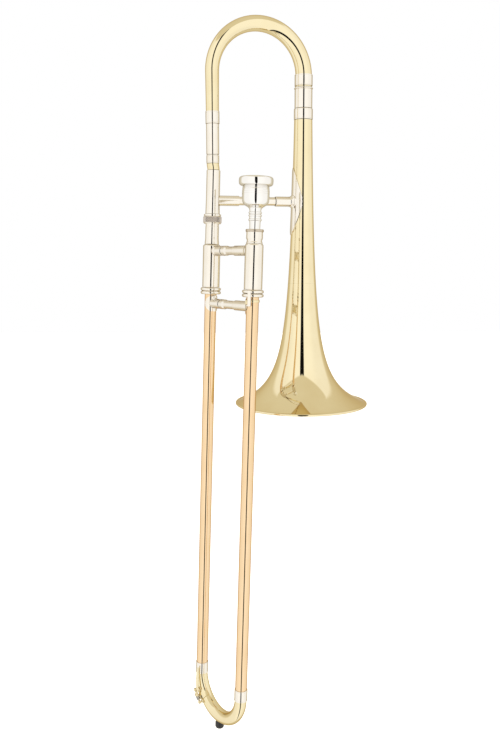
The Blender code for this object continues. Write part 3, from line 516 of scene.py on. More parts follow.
def sleeve(node, place, material, radius, bore, groove_inset=None):
    """A plain ferrule or tube between the CAD node's own ends, with rounded lips; a ferrule also has a
    fine groove at an inset from each end."""
    start, end, _ = span(node, place)
    outer = [(bore + 0.0001, start), (radius, start)]
    if groove_inset:
        for height in (start + groove_inset, end - groove_inset):
            outer += groove(radius, height, 0.00022, 0.00012)
    outer += [(radius, end), (bore + 0.0001, end)]
    return turned(node, place, material, outer, straight(bore, start, end))


# ---------------------------------------------------------------- bell section
def bell_radius(height):
    flare_size = (BELL_RIM_RADIUS - BELL_CONE_RADIUS) * BELL_FLARE_OFFSET ** BELL_FLARE_POWER
    flare = flare_size / (height + BELL_FLARE_OFFSET) ** BELL_FLARE_POWER
    return BELL_CONE_RADIUS - BELL_CONE_SLOPE * height + flare


def bell_wall(low, high, steps, crowding):
    """Outer and inner outlines of a stretch of bell, with points crowded towards its lower end."""
    outer = []
    inner = []
    for step in range(steps + 1):
        height = low + (high - low) * (step / steps) ** crowding
        slope = (bell_radius(height + 1e-4) - bell_radius(height - 1e-4)) / 2e-4
        length = sqrt(1 + slope * slope)
        outer.append((bell_radius(height), height))
        inner.append((bell_radius(height) - WALL / length, height + WALL * slope / length))
    return outer, inner


def build_bell():
    outer, inner = bell_wall(0.0012, BELL_SEAM_HEIGHT, 70, 1.6)
    rim_roll = arc((BELL_RIM_RADIUS - RIM_BEAD_RADIUS, 0.0), RIM_BEAD_RADIUS, 130, -180, 26)
    outline = list(reversed(outer)) + rim_roll + inner
    piece("bell_flare", lathe(outline, BELL_SIDES), BELL, "bell_brass")

    seam_gap = 0.00005
    outer, inner = bell_wall(BELL_SEAM_HEIGHT + seam_gap, span("bell_stem")[1], 40, 1.1)
    piece("bell_stem", lathe(outer + list(reversed(inner)), STEM_SIDES), BELL, "bell_brass")

    bore = 0.0097
    low, high, _ = span("bell_ferrule")
    outer = [(0.0100, low), (0.0112, low + 0.0002), (0.0113, low + 0.0008)]
    outer += groove(0.0113, low + 0.0016, 0.0002, 0.00014)
    outer += groove(0.0113, high - 0.0014, 0.0002, 0.00014)
    outer += [(0.0113, high - 0.0005), (0.0107, high)]
    turned("bell_ferrule", BELL, "nickel_tube", outer, straight(bore, low, high))

    low, high, _ = span("bell_tuning_sleeve")
    outer = [(0.0101, low), (0.0106, low + 0.0001), (0.0106, high - 0.0028)]
    outer += bead(0.0103, high - 0.0013, 0.0009)
    outer += [(0.0103, high)]
    turned("bell_tuning_sleeve", BELL, "nickel_tube", outer, straight(bore, low, high))


def gooseneck_path(steps=16):
    """From the tuning slide's leg to the top of the neck, easing from one line to the other."""
    top = LEG @ Vector((0, 0, span("gooseneck_tube", LEG)[1]))
    end = LOWER @ Vector((0, 0, span("gooseneck_tube", LOWER)[1]))
    length = (top - end).length
    path = []
    for step in range(steps + 1):
        share = step / steps
        straight_down = top.lerp(top - Vector((0, 0, length)), share)
        along_slide = (end - DOWN * length).lerp(end, share)
        ease = share * share * (3 - 2 * share)
        path.append(straight_down.lerp(along_slide, ease))
    return path


def build_gooseneck():
    sleeve("gooseneck_inner_leg", LEG, "nickel_tube", 0.0067, 0.0062)
    sleeve("gooseneck_ferrule", LEG, "nickel_tube", 0.0075, 0.0064, 0.0012)
    path = gooseneck_path()
    bm = swept(path, [0.0071] * len(path), [0.0062] * len(path), TURNED_SIDES)
    piece("gooseneck_tube", bm, BELL, "tube_brass")

    start, end, _ = span("neck_tube", LOWER)
    neck = [(0.0074, start), (0.0082, start + 0.0001), (0.0083, start + 0.0010), (0.0083, 0.0480)]
    neck += [(0.0087, 0.0660), (0.0087, 0.0665), (0.0070, 0.0665), (0.0070, 0.0692), (0.0082, 0.0692)]
    neck += [(0.0082, end)]
    turned("neck_tube", LOWER, "nickel_tube", neck, straight(0.0061, start, end))


def build_lock_nut():
    """A straight-knurled band between a flanged collar and a chamfered skirt."""
    start, end, _ = span("bell_lock_nut", LOWER)
    outer = [(0.0076, start), (0.0102, start), (0.0103, start + 0.0006), (0.0103, 0.0688), (0.0099, 0.0694)]
    outer += [(0.0111, 0.0699), (0.0113, 0.0704), (0.0113, 0.0763), (0.0111, 0.0768), (0.0104, 0.0772)]
    outer += [(0.0101, end), (0.0089, end)]
    bore = [(0.0073, start), (0.0073, 0.0688), (0.0088, 0.0688), (0.0088, end)]
    ridges = 96
    ridge_depth = 0.00028
    band_start = 0.0702
    band_end = 0.0765
    bm = lathe(soften(outer, 0.0002) + list(reversed(bore)), ridges * 4)
    for vert in bm.verts:
        radius = sqrt(vert.co.x ** 2 + vert.co.y ** 2)
        if radius > 0.0112 and band_start < vert.co.z < band_end:
            wave = 0.5 - 0.5 * cos(ridges * atan2(vert.co.y, vert.co.x))
            scale = 1 - ridge_depth * wave / radius
            vert.co.x *= scale
            vert.co.y *= scale
    nut = piece("bell_lock_nut", bm, LOWER, "nickel_turned")
    repaint(nut, "nickel_knurled", lambda centre: band_start < centre.z < band_end
            and sqrt(centre.x ** 2 + centre.y ** 2) > 0.0105)


# ---------------------------------------------------------------- braces
def brace_place(height, direction):
    return Matrix.Translation((0, 0, height)) @ Matrix.Rotation(direction * pi / 2, 4, "Y")


def flange_patch(radius_in, radius_out, half_height, reach, columns, rows):
    """A plate bent round the Z axis and centred on +X; `reach(t)` is its half angle at each height."""
    bm = bmesh.new()
    layers = []
    for radius in (radius_in, radius_out):
        layer = []
        for row in range(rows + 1):
            t = -cos(pi * row / rows)
            line = []
            for column in range(columns + 1):
                angle = reach(t) * (-1 + 2 * column / columns)
                thin = radius_in + (radius - radius_in) * (1.0 if abs(t) < 0.999 else 0.6)
                line.append(bm.verts.new((thin * cos(angle), thin * sin(angle), half_height * t)))
            layer.append(line)
        layers.append(layer)
    for layer in layers:
        for row in range(rows):
            for column in range(columns):
                bm.faces.new((layer[row][column], layer[row][column + 1],
                              layer[row + 1][column + 1], layer[row + 1][column]))
    borders = []
    for layer in layers:
        border = [layer[0][column] for column in range(columns + 1)]
        border += [layer[row][columns] for row in range(1, rows + 1)]
        border += [layer[rows][column] for column in range(columns - 1, -1, -1)]
        border += [layer[row][0] for row in range(rows - 1, 0, -1)]
        borders.append(border)
    bridge(bm, borders[0], borders[1])
    return bm


def oval_reach(t):
    return radians(84) * sqrt(max(1 - t * t, 0.0)) + radians(4)


def diamond_reach(t):
    """Edges of the diamond that look straight from the player's side, although its middle is turned away."""
    return acos(cos(BRACE_ANGLE) * min(abs(t), 1.0)) - BRACE_ANGLE + radians(1.5)


def brace_socket(node, place, tube_radius, end, height, direction=1, flange=False, shoulder=0.0):
    """A socket on the side of a tube, cut to sit on it, with an oval flange where the real one has it."""
    bore = BRACE_ROD_RADIUS + GAP
    lip = 0.0002
    foot = max(tube_radius - 0.004, 0.002)
    body = BRACE_SOCKET_RADIUS
    outline = [(0.0, foot), (body + shoulder, foot), (body + shoulder, tube_radius + 0.0004)]
    outline += [(body, tube_radius + 0.002 + shoulder), (body, end - lip), (body - lip, end), (bore, end)]
    outline += [(bore, end - SOCKET_DEPTH), (0.0, end - SOCKET_DEPTH)]
    bm = moved(lathe(soften(outline, 0.0005, 4), 64), brace_place(height, direction))
    obj = mesh_object(node + "_fine", bm, place)
    lift = Matrix.Translation((0, 0, height))
    if flange:
        turn = Matrix.Rotation(0 if direction > 0 else pi, 4, "Z")
        plate = flange_patch(tube_radius - 0.0004, tube_radius + 0.0010, 0.0098, oval_reach, 32, 24)
        boolean(obj, moved(plate, lift @ turn), "UNION")
    tool = [(0.0, -0.06)] + straight(tube_radius + 0.0001, -0.06, 0.06) + [(0.0, 0.06)]
    boolean(obj, moved(lathe(tool, 96), lift), "DIFFERENCE")
    stand_for(node, obj, "nickel_turned")


def brace_rod(node, place, start, end, height, shoulder_end=None):
    """A rod that enters a socket at each end. With a shoulder it has a collar beside the first socket and
    a dark band of painted shade at the seam between them, and without one that painted shade is beside the second
    socket."""
    into = 0.0055
    radius = BRACE_ROD_RADIUS
    collar_radius = BRACE_SOCKET_RADIUS
    gap_end = start + 0.0010
    outline = [(0.0, start - into), (radius, start - into), (radius, start - 0.0003), (radius, gap_end)]
    seam_painted_shade = (end - 0.0009, end)
    if shoulder_end:
        outline += [(collar_radius - 0.0002, gap_end), (collar_radius, gap_end + 0.0002)]
        outline += [(collar_radius, shoulder_end), (radius, shoulder_end + 0.0025)]
        seam_painted_shade = (start - 0.0004, gap_end + 0.0007)
    outline += [(radius, end - 0.0008), (radius, end + 0.0001), (radius, end + into), (0.0, end + into)]
    bm = moved(lathe(soften(outline, 0.0005, 4), 64), brace_place(height, 1))
    rod_piece = piece(node, bm, place, "nickel_turned")
    # paints the rod near-black at the seam beside a socket: painted shade for the gap there
    repaint(rod_piece, "seam_painted_shade", lambda centre: seam_painted_shade[0] < centre.x < seam_painted_shade[1])


def build_flange_on_bell(place, height, reach):
    """A socket on a long diamond-shaped plate that follows the bell."""
    half_height = 0.0400
    radius = bell_radius(height)
    foot_radius = 0.0085
    bore = BRACE_ROD_RADIUS + GAP
    socket_bottom = reach - SOCKET_DEPTH
    outline = [(0.0, 0.008), (foot_radius, 0.008), (foot_radius, radius + 0.0004), (0.0070, radius + 0.0018)]
    outline += [(BRACE_SOCKET_RADIUS + 0.0002, radius + 0.0038), (BRACE_SOCKET_RADIUS, radius + 0.0052)]
    outline += [(BRACE_SOCKET_RADIUS, reach - 0.0004), (BRACE_SOCKET_RADIUS - 0.0004, reach), (bore, reach)]
    outline += [(bore, socket_bottom), (0.0, socket_bottom)]
    socket = moved(lathe(soften(outline, 0.0006, 5), 64), brace_place(height, -1))
    flange = mesh_object("bell_brace_flange_fine", socket, place)
    plate = flange_patch(radius - 0.0005, radius + 0.0010, half_height, diamond_reach, 40, 48)
    for vert in plate.verts:
        stretch = bell_radius(height + vert.co.z) / radius
        vert.co.x *= stretch
        vert.co.y *= stretch
    turn = Matrix.Translation((0, 0, height)) @ Matrix.Rotation(pi, 4, "Z")
    boolean(flange, moved(plate, turn), "UNION")

    cut_half_height = 0.05
    steps = 30
    tool = [(0.0, height + cut_half_height)]
    for step in range(steps + 1):
        level = height + cut_half_height - 2 * cut_half_height * step / steps
        tool.append((bell_radius(level) + 0.0001, level))
    tool.append((0.0, height - cut_half_height))
    boolean(flange, lathe(tool, 96), "DIFFERENCE")
    stand_for("bell_brace_flange", flange, "nickel_turned")


def build_bell_brace():
    """A level brace from the neck to the bell."""
    to_bell = Matrix.Rotation(BRACE_ANGLE, 4, "Z")
    neck_place = to_bell @ Matrix.Translation((-BRACE_LENGTH, 0, 0))
    neck_radius = 0.0080
    socket_end = 0.0317
    reach = 0.0353
    brace_socket("bell_brace_neck_socket", neck_place, neck_radius, socket_end, BELL_BRACE_HEIGHT)
    brace_rod("bell_brace_rod", neck_place, socket_end, BRACE_LENGTH - reach, BELL_BRACE_HEIGHT)
    build_flange_on_bell(to_bell, BELL_BRACE_HEIGHT, reach)


# ---------------------------------------------------------------- tuning slide
def bow_path():
    """Up the gooseneck's leg, round the half circle and down to the bell's end."""
    radius = LEG_SPACING / 2
    top = 0.4496
    centre_height = top - radius
    leg_end = span("tuning_bow", LEG)[0]
    bell_end = 0.3815
    leg_steps = 12
    bend_steps = 80
    bell_steps = 3
    path = []
    for step in range(leg_steps):
        path.append(Vector((-LEG_SPACING, 0, leg_end + (centre_height - leg_end) * step / leg_steps)))
    for step in range(bend_steps + 1):
        angle = pi * (1 - step / bend_steps)
        path.append(Vector((radius * cos(angle) - radius, 0, centre_height + radius * sin(angle))))
    for step in range(1, bell_steps + 1):
        path.append(Vector((0, 0, centre_height + (bell_end - centre_height) * step / bell_steps)))
    return path


def build_tuning_slide():
    path = bow_path()
    lengths = [0.0]
    for first, second in zip(path, path[1:]):
        lengths.append(lengths[-1] + (second - first).length)
    small = 0.0074
    large = 0.00995
    outer = [small + (large - small) * length / lengths[-1] for length in lengths]
    inner = [radius - WALL for radius in outer]
    piece("tuning_bow", swept(path, outer, inner, 96), BOW, "tube_brass")
    sleeve("bow_ferrule_gooseneck", LEG, "nickel_tube", 0.0081, 0.0077, 0.0013)
    sleeve("gooseneck_tuning_sleeve", LEG, "nickel_tube", 0.0075, 0.0070)
    sleeve("bow_ferrule_bell", BELL, "nickel_tube", 0.0107, 0.01025, 0.0013)
    sleeve("bell_side_inner_leg", BELL, "nickel_tube", 0.0094, 0.0088)


# ---------------------------------------------------------------- inner slide
def build_barrel(side, place, top_radius):
    """Cork barrel with a rolled shoulder at its top and a turned line near its other end."""
    node = side + "_cork_barrel"
    top, end, _ = span(node, place)
    outer = [(top_radius - 0.0004, top), (top_radius, top + 0.0003), (BARREL_RADIUS - 0.0007, top + 0.0010)]
    outer += [(BARREL_RADIUS, top + 0.0020)]
    outer += groove(BARREL_RADIUS, end - 0.0008, 0.0002, 0.00015)
    outer += [(BARREL_RADIUS, end)]
    bore = [(0.0063, top), (0.0063, top + 0.0040), (0.0080, top + 0.0040), (0.0080, end)]
    turned(node, place, "nickel_tube", outer, bore, 96, 0.0004)


def build_end_rings():
    """The lower barrel's double-beaded ring and the upper barrel's single bead."""
    bore = 0.0080
    for side, place, count in (("lower", LOWER, 2), ("upper", UPPER, 1)):
        node = side + "_barrel_end_ring"
        start, end, _ = span(node, place)
        outer = [(bore, start)] + ring_beads(END_RING_RADIUS, start, count) + [(bore, end)]
        turned(node, place, "nickel_turned", outer, (), 96, 0.0002)


def tab_at(angle, radius_in, radius_out, start, end, width, rounding):
    """A small upright tab at an angle round the axis."""
    bm = block((radius_in, -width / 2, start), (radius_out, width / 2, end), rounding)
    return moved(bm, Matrix.Rotation(angle, 4, "Z"))


def around_slide(angle_from_front):
    """Angle round the slide's axis of a direction given clockwise from the player's side."""
    direction = Vector((-sin(angle_from_front), -cos(angle_from_front), 0))
    axes = LOWER.to_3x3()
    return atan2(direction.dot(axes.col[1]), direction.dot(axes.col[0]))


LOCK_TAB_FROM_FRONT = radians(19)
CATCH_FROM_FRONT = radians(48)


def build_slide_lock():
    """Ring on the upper barrel's end whose hooked tab turns under the outer slide's catch."""
    bore = 0.0080
    start = span("upper_barrel_end_ring", UPPER)[1] + 0.0002
    end = END_RING_END + 0.0002
    outer = [(bore, start)] + ring_beads(END_RING_RADIUS, end - BEAD_SPACING, 1) + [(bore, end)]
    ring = mesh_object("slide_lock_ring_fine", lathe(soften(outer, 0.0002), 96), UPPER)
    angle = around_slide(LOCK_TAB_FROM_FRONT)
    tab_end = 0.1738
    tab_width = 0.0040
    tab_face = 0.0129
    boolean(ring, tab_at(angle, 0.0108, tab_face, start + 0.0006, tab_end, tab_width, 0.0004), "UNION")
    upper_tab = tab_at(angle, 0.0122, tab_face, start - 0.0036, start + 0.0010, tab_width, 0.0002)
    boolean(ring, upper_tab, "UNION")
    hook_angle = around_slide(LOCK_TAB_FROM_FRONT + radians(10))
    hook = tab_at(hook_angle, 0.0098, 0.0112, tab_end - 0.0018, tab_end - 0.0001, 0.0036, 0.0003)
    boolean(ring, hook, "UNION")
    stand_for("slide_lock_ring", ring, "nickel_turned")


def build_inner_slide():
    start, end, _ = span("slide_receiver_tube", LOWER)
    tenon = [(0.0054, start), (0.0058, 0.0717), (0.0085, 0.0717), (0.0085, 0.0779), (0.0080, 0.0785)]
    tenon += [(0.0080, 0.0812), (0.0082, 0.0816), (0.0082, 0.0958), (0.0084, 0.0985), (0.0087, 0.1005)]
    tenon += [(0.0087, end)]
    turned("slide_receiver_tube", LOWER, "nickel_tube", tenon, straight(0.0050, start, end))

    start, end, _ = span("mouthpiece_receiver", UPPER)
    cup = [(0.0098, start), (0.0103, start + 0.0005), (0.0103, start + 0.0025), (0.0098, start + 0.0030)]
    cup += [(0.0094, start + 0.0030), (0.0095, 0.0972), (0.0090, 0.0982), (0.0087, 0.0990)]
    cup += [(0.0087, 0.1005), (0.0092, 0.1015), (0.0094, end)]
    taper = [(0.0065, start), (0.0061, end)]
    receiver = turned("mouthpiece_receiver", UPPER, "nickel_turned", cup, taper, RING_SIDES)
    collar_end = start + 0.0031
    repaint(receiver, "nickel_brushed", lambda centre: centre.z < collar_end)

    for side, place, top_radius in (("lower", LOWER, 0.0089), ("upper", UPPER, 0.0096)):
        build_barrel(side, place, top_radius)
        sleeve(side + "_inner_tube", place, "nickel_tube", INNER_TUBE_RADIUS, INNER_TUBE_BORE)
        node = side + "_stocking"
        start, end, radius = span(node, place)
        outer = [(INNER_TUBE_RADIUS, start), (radius, start + 0.0025), (radius, end)]
        turned(node, place, "nickel_tube", outer, straight(INNER_TUBE_BORE, start, end))
    build_end_rings()

    left_end = 0.0249
    right_start = 0.0495
    brace_socket("inner_brace_lower_socket", LOWER, BARREL_RADIUS, left_end, INNER_BRACE_DOWN,
                 shoulder=0.0006)
    brace_rod("inner_brace_rod", LOWER, left_end, right_start, INNER_BRACE_DOWN, 0.0330)
    brace_socket("inner_brace_upper_socket", UPPER, BARREL_RADIUS, SLIDE_WIDTH - right_start,
                 INNER_BRACE_DOWN, direction=-1, shoulder=0.0006)


# ---------------------------------------------------------------- mouthpiece
def build_mouthpiece():
    top = span("mouthpiece", UPPER)[0]
    rim = [(0.0146, 0.0007), (0.0152, 0.0003), (0.0163, 0.0), (0.0178, 0.0003), (0.0190, 0.0013)]
    rim += [(0.0195, 0.0032), (0.0195, 0.0060), (0.0192, 0.0078), (0.0184, 0.0092), (0.0170, 0.0099)]
    rim += [(0.0156, 0.0103), (0.0149, 0.0106)]
    outside = smooth_outline(rim, 5)
    for line in (0.0112, 0.0128, 0.0146, 0.0166, 0.0188):
        radius = 0.0150 + 0.0006 * sin(pi * (line - 0.0106) / 0.016)
        outside += groove(radius, line, 0.00025, 0.00012)
    bowl = [(0.0155, 0.0205), (0.0155, 0.0235), (0.0153, 0.0262), (0.0147, 0.0286), (0.0135, 0.0305)]
    bowl += [(0.0117, 0.0320), (0.0097, 0.0332), (0.0080, 0.0344), (0.0071, 0.0357), (0.0067, 0.0370)]
    outside += smooth_outline(bowl, 5)
    for ridge in (0.0400, 0.0430, 0.0478):
        outside += arc((0.0064, ridge), 0.0012, -75, 75, 10)
    outside += [(0.0064, 0.0496), (0.0063, 0.0506), (0.0057, 0.0805)]
    inside = smooth_outline([(0.0141, 0.0012), (0.0134, 0.0024), (0.0124, 0.0050), (0.0112, 0.0110),
                             (0.0088, 0.0185), (0.0052, 0.0240), (0.0034, 0.0275), (0.0034, 0.0310)], 5)
    inside.append((0.0046, 0.0805))
    outline = [(radius, top + depth) for radius, depth in outside + list(reversed(inside))]
    piece("mouthpiece", lathe(outline, 128), UPPER, "silver")


# ---------------------------------------------------------------- outer slide
def crook_centre(angle):
    return Vector((CROOK_RADIUS - CROOK_RADIUS * cos(angle), 0, CROOK_START + CROOK_DEPTH * sin(angle)))


def crook_path(steps=72):
    stub = span("crook", LOWER)[0]
    bend = [crook_centre(pi * step / steps) for step in range(steps + 1)]
    return [Vector((0, 0, stub))] + bend + [Vector((SLIDE_WIDTH, 0, stub))]


def crook_radii(path, extra=0.0):
    radii = []
    for point in path:
        depth = max(point.z - CROOK_START, 0.0) / CROOK_DEPTH
        radii.append(CROOK_TUBE_RADIUS + CROOK_TUBE_SWELL * depth + extra)
    return radii


def build_outer_slide():
    for side, place in (("lower", LOWER), ("upper", UPPER)):
        sleeve(side + "_outer_tube", place, "slide_brass", OUTER_TUBE_RADIUS, 0.0067)
        node = side + "_crook_ferrule"
        start, end, _ = span(node, place)
        outer = [(0.0075, start), (0.0080, start + 0.0001)]
        outer += groove(0.0080, start + 0.0012, 0.0002, 0.00012)
        outer += groove(0.0080, end - 0.0012, 0.0002, 0.00012)
        outer += [(0.0081, end), (0.0078, end)]
        turned(node, place, "nickel_tube", outer, straight(OUTER_TUBE_RADIUS + 0.0001, start, end))

    path = crook_path()
    piece("crook", swept(path, crook_radii(path), crook_radii(path, -WALL), 96), LOWER, "tube_brass")

    start = 0.1665
    end = 0.1695
    bore = OUTER_TUBE_RADIUS + 0.0001
    band = [(bore, start), (0.0078, start), (0.0081, start + 0.0006), (0.0081, end - 0.0006), (0.0078, end)]
    band += [(bore, end)]
    catch = mesh_object("lock_catch_ring_fine", lathe(soften(band, 0.0003), 96), UPPER)
    boolean(catch, block((-0.020, -0.020, 0.160), (-0.0013, 0.020, 0.180)), "DIFFERENCE")
    angle = around_slide(CATCH_FROM_FRONT)
    boolean(catch, tab_at(angle, 0.0077, 0.0104, 0.1669, 0.1691, 0.0022, 0.0002), "UNION")
    boolean(catch, tab_at(angle, 0.0087, 0.0105, 0.1673, 0.1716, 0.0024, 0.0003), "UNION")
    stand_for("lock_catch_ring", catch, "small_brass")

    left_end = 0.0232
    right_start = 0.0535
    brace_socket("outer_brace_lower_socket", LOWER, OUTER_TUBE_RADIUS, left_end, OUTER_BRACE_DOWN,
                 flange=True)
    brace_rod("outer_brace_rod", LOWER, left_end, right_start, OUTER_BRACE_DOWN, 0.0315)
    brace_socket("outer_brace_upper_socket", UPPER, OUTER_TUBE_RADIUS, SLIDE_WIDTH - right_start,
                 OUTER_BRACE_DOWN, direction=-1, flange=True)

    knob_distance = 0.0145
    knob_tilt = radians(32)
    base = BRACE_SOCKET_RADIUS
    outline = [(0.0, base), (0.0024, base), (0.0024, base + 0.0010), (0.0030, base + 0.0014)]
    outline += [(0.0033, base + 0.0020), (0.0033, base + 0.0040), (0.0031, base + 0.0049)]
    outline += [(0.0024, base + 0.0055), (0.0, base + 0.0058)]
    turn = Matrix.Translation((knob_distance, 0, OUTER_BRACE_DOWN)) @ Matrix.Rotation(pi + knob_tilt, 4, "X")
    piece("brace_stop_knob", moved(lathe(soften(outline, 0.0004, 4), 48), turn), LOWER, "nickel_turned")


def build_bumper():
    """Rubber foot on the lowest point of the crook, with a moulded step and a domed tip."""
    path = crook_path()
    bottom = CROOK_START + CROOK_DEPTH + CROOK_TUBE_RADIUS + CROOK_TUBE_SWELL
    centre = Matrix.Translation((CROOK_RADIUS, 0, bottom))
    foot = [(0.0, -0.0030), (0.0049, -0.0030), (0.0052, 0.0002), (0.0055, 0.0010), (0.0056, 0.0018)]
    foot += [(0.0056, 0.0058)]
    foot += arc((0.0026, 0.0058), 0.0030, 0, 90, 12)
    foot += [(0.0, 0.0088)]
    rubber = mesh_object("rubber_bumper_fine", moved(lathe(foot, 64), centre), LOWER)
    boolean(rubber, solid_wire(path, crook_radii(path, 0.0001), 96), "DIFFERENCE")
    stand_for("rubber_bumper", rubber, "rubber")


# ---------------------------------------------------------------- water key
KEY_CROOK_ANGLE = radians(41)
KEY_TURN = radians(85)
KEY_PAD_TURN = radians(28)
KEY_TIP_TURN = radians(120)
KEY_TIP_DISTANCE = 0.0384
KEY_AXIS_DISTANCE = 0.0126
KEY_POST_SPACING = 0.0160
KEY_POST_BALL_RADIUS = 0.0022
KEY_BARREL_RADIUS = 0.0017
KEY_PIN_RADIUS = 0.0008


def crook_place(distance, turn):
    """Matrix on the lower half of the crook: +Z along the tube, +X out of it at angle `turn`."""
    mean_radius = (CROOK_RADIUS + CROOK_DEPTH) / 2
    angle = max(distance, 0.0) / mean_radius
    centre = crook_centre(angle) + Vector((0, 0, min(distance, 0.0)))
    tangent = Vector((CROOK_RADIUS * sin(angle), 0, CROOK_DEPTH * cos(angle))).normalized()
    outward = Vector((-tangent.z, 0, tangent.x))
    side = tangent.cross(outward)
    matrix = Matrix((outward, side, tangent)).transposed().to_4x4()
    matrix.translation = centre
    return matrix @ Matrix.Rotation(-turn, 4, "Z")


KEY_DISTANCE = KEY_CROOK_ANGLE * (CROOK_RADIUS + CROOK_DEPTH) / 2
KEY = crook_place(KEY_DISTANCE, KEY_TURN)
INTO_KEY = KEY.inverted()
KEY_PLACE = LOWER @ KEY


def strip(rows, sides=20):
    """A thin bar with rounded edges through rows of (distance along the tube from the hinge, angle round
    the tube, distance from its axis, half width, half thickness), smoothed between the rows."""
    curves = [smooth_outline([(row[0], row[index]) for row in rows], 6) for index in range(1, 5)]
    bm = bmesh.new()
    rings = []
    for samples in zip(*curves):
        along = samples[0][0]
        turn, away, half_width, half_thickness = (sample[1] for sample in samples)
        place = INTO_KEY @ crook_place(KEY_DISTANCE + along, turn)
        ring = []
        for step in range(sides):
            angle = 2 * pi * step / sides
            corner = Vector((away + half_thickness * sin(angle), half_width * cos(angle), 0))
            ring.append(bm.verts.new(place @ corner))
        rings.append(ring)
    return skin(bm, rings)


def long_arm():
    beside_post = radians(21)
    rows = [(-KEY_TIP_DISTANCE, KEY_TIP_TURN, 0.0111, 0.0009, 0.0004)]
    rows.append((-KEY_TIP_DISTANCE + 0.0015, KEY_TIP_TURN - radians(1), 0.0111, 0.0014, 0.0005))
    rows.append((-0.0280, KEY_TURN + radians(30), 0.0112, 0.0018, 0.0006))
    rows.append((-0.0180, KEY_TURN + radians(26), 0.0116, 0.0020, 0.0007))
    rows.append((-0.0100, KEY_TURN + beside_post, 0.0125, 0.0020, 0.0007))
    rows.append((-0.0062, KEY_TURN + beside_post, 0.0129, 0.0020, 0.0007))
    rows.append((-0.0040, KEY_TURN + radians(12), 0.0134, 0.0018, 0.0007))
    rows.append((-0.0022, KEY_TURN, 0.0137, 0.0014, 0.0006))
    return strip(rows)


def short_arm():
    """A bow across the tube from the hinge to the cork's cup."""
    start = KEY_AXIS_DISTANCE + 0.0013
    end = 0.0131
    steps = 12
    bm = bmesh.new()
    rings = []
    for step in range(steps + 1):
        share = step / steps
        turn = KEY_TURN + (KEY_PAD_TURN - KEY_TURN) * share
        place = INTO_KEY @ crook_place(KEY_DISTANCE - 0.0030 * (1 - share), turn)
        away = start + (end - start) * share
        ring = []
        for corner in range(12):
            angle = 2 * pi * corner / 12
            ring.append(bm.verts.new(place @ Vector((away + 0.0006 * sin(angle), 0, 0.0017 * cos(angle)))))
        rings.append(ring)
    return skin(bm, rings)


def rod(radius, start, end, sides=40):
    chamfer = 0.0002
    outer = [(radius - chamfer, start), (radius, start + chamfer)]
    outer += [(radius, end - chamfer), (radius - chamfer, end)]
    return lathe([(0.0, start)] + soften(outer) + [(0.0, end)], sides)


def build_key_saddle(near_crook, hinge):
    """Oval base plate on the tube, with two ball-headed posts that carry the hinge screw."""
    path = crook_path()
    surface = moved(solid_wire(path, crook_radii(path, 0.0012), 96), INTO_KEY)
    oval = lathe([(0.0, -0.012), (1.0, -0.012), (1.0, 0.014), (0.0, 0.014)], 64)
    squeeze = Matrix.Diagonal((0.0056, 0.0086, 1.0, 1.0))
    to_plate = Matrix.Translation((0, -0.0028, 0)) @ Matrix.Rotation(pi / 2, 4, "Y")
    saddle = mesh_object("water_key_saddle_fine", moved(oval, to_plate @ squeeze), KEY_PLACE)
    boolean(saddle, block((0.0010, -0.012, -0.008), (0.0120, 0.0040, 0.008)), "INTERSECT")
    boolean(saddle, surface, "INTERSECT")
    for direction in (-1, 1):
        reach = direction * KEY_POST_SPACING / 2
        outward = Matrix.Translation((0, 0, reach)) @ Matrix.Rotation(pi / 2, 4, "Y")
        post = [(0.0, 0.0060), (0.0022, 0.0060), (0.0022, 0.0086), (0.0015, 0.0094), (0.0012, 0.0102)]
        post += arc((0.0, KEY_AXIS_DISTANCE), KEY_POST_BALL_RADIUS, -52, 90, 18)
        boolean(saddle, moved(lathe(post, 40), outward), "UNION")
        foot = block((0.0060, -0.0019, min(reach, 0.0)), (0.0090, 0.0019, max(reach, 0.0)))
        boolean(saddle, foot, "UNION")
    boolean(saddle, moved(rod(KEY_PIN_RADIUS + 0.0001, -0.012, 0.012, 24), hinge), "DIFFERENCE")
    boolean(saddle, near_crook, "DIFFERENCE")
    stand_for("water_key_saddle", saddle, "small_brass")


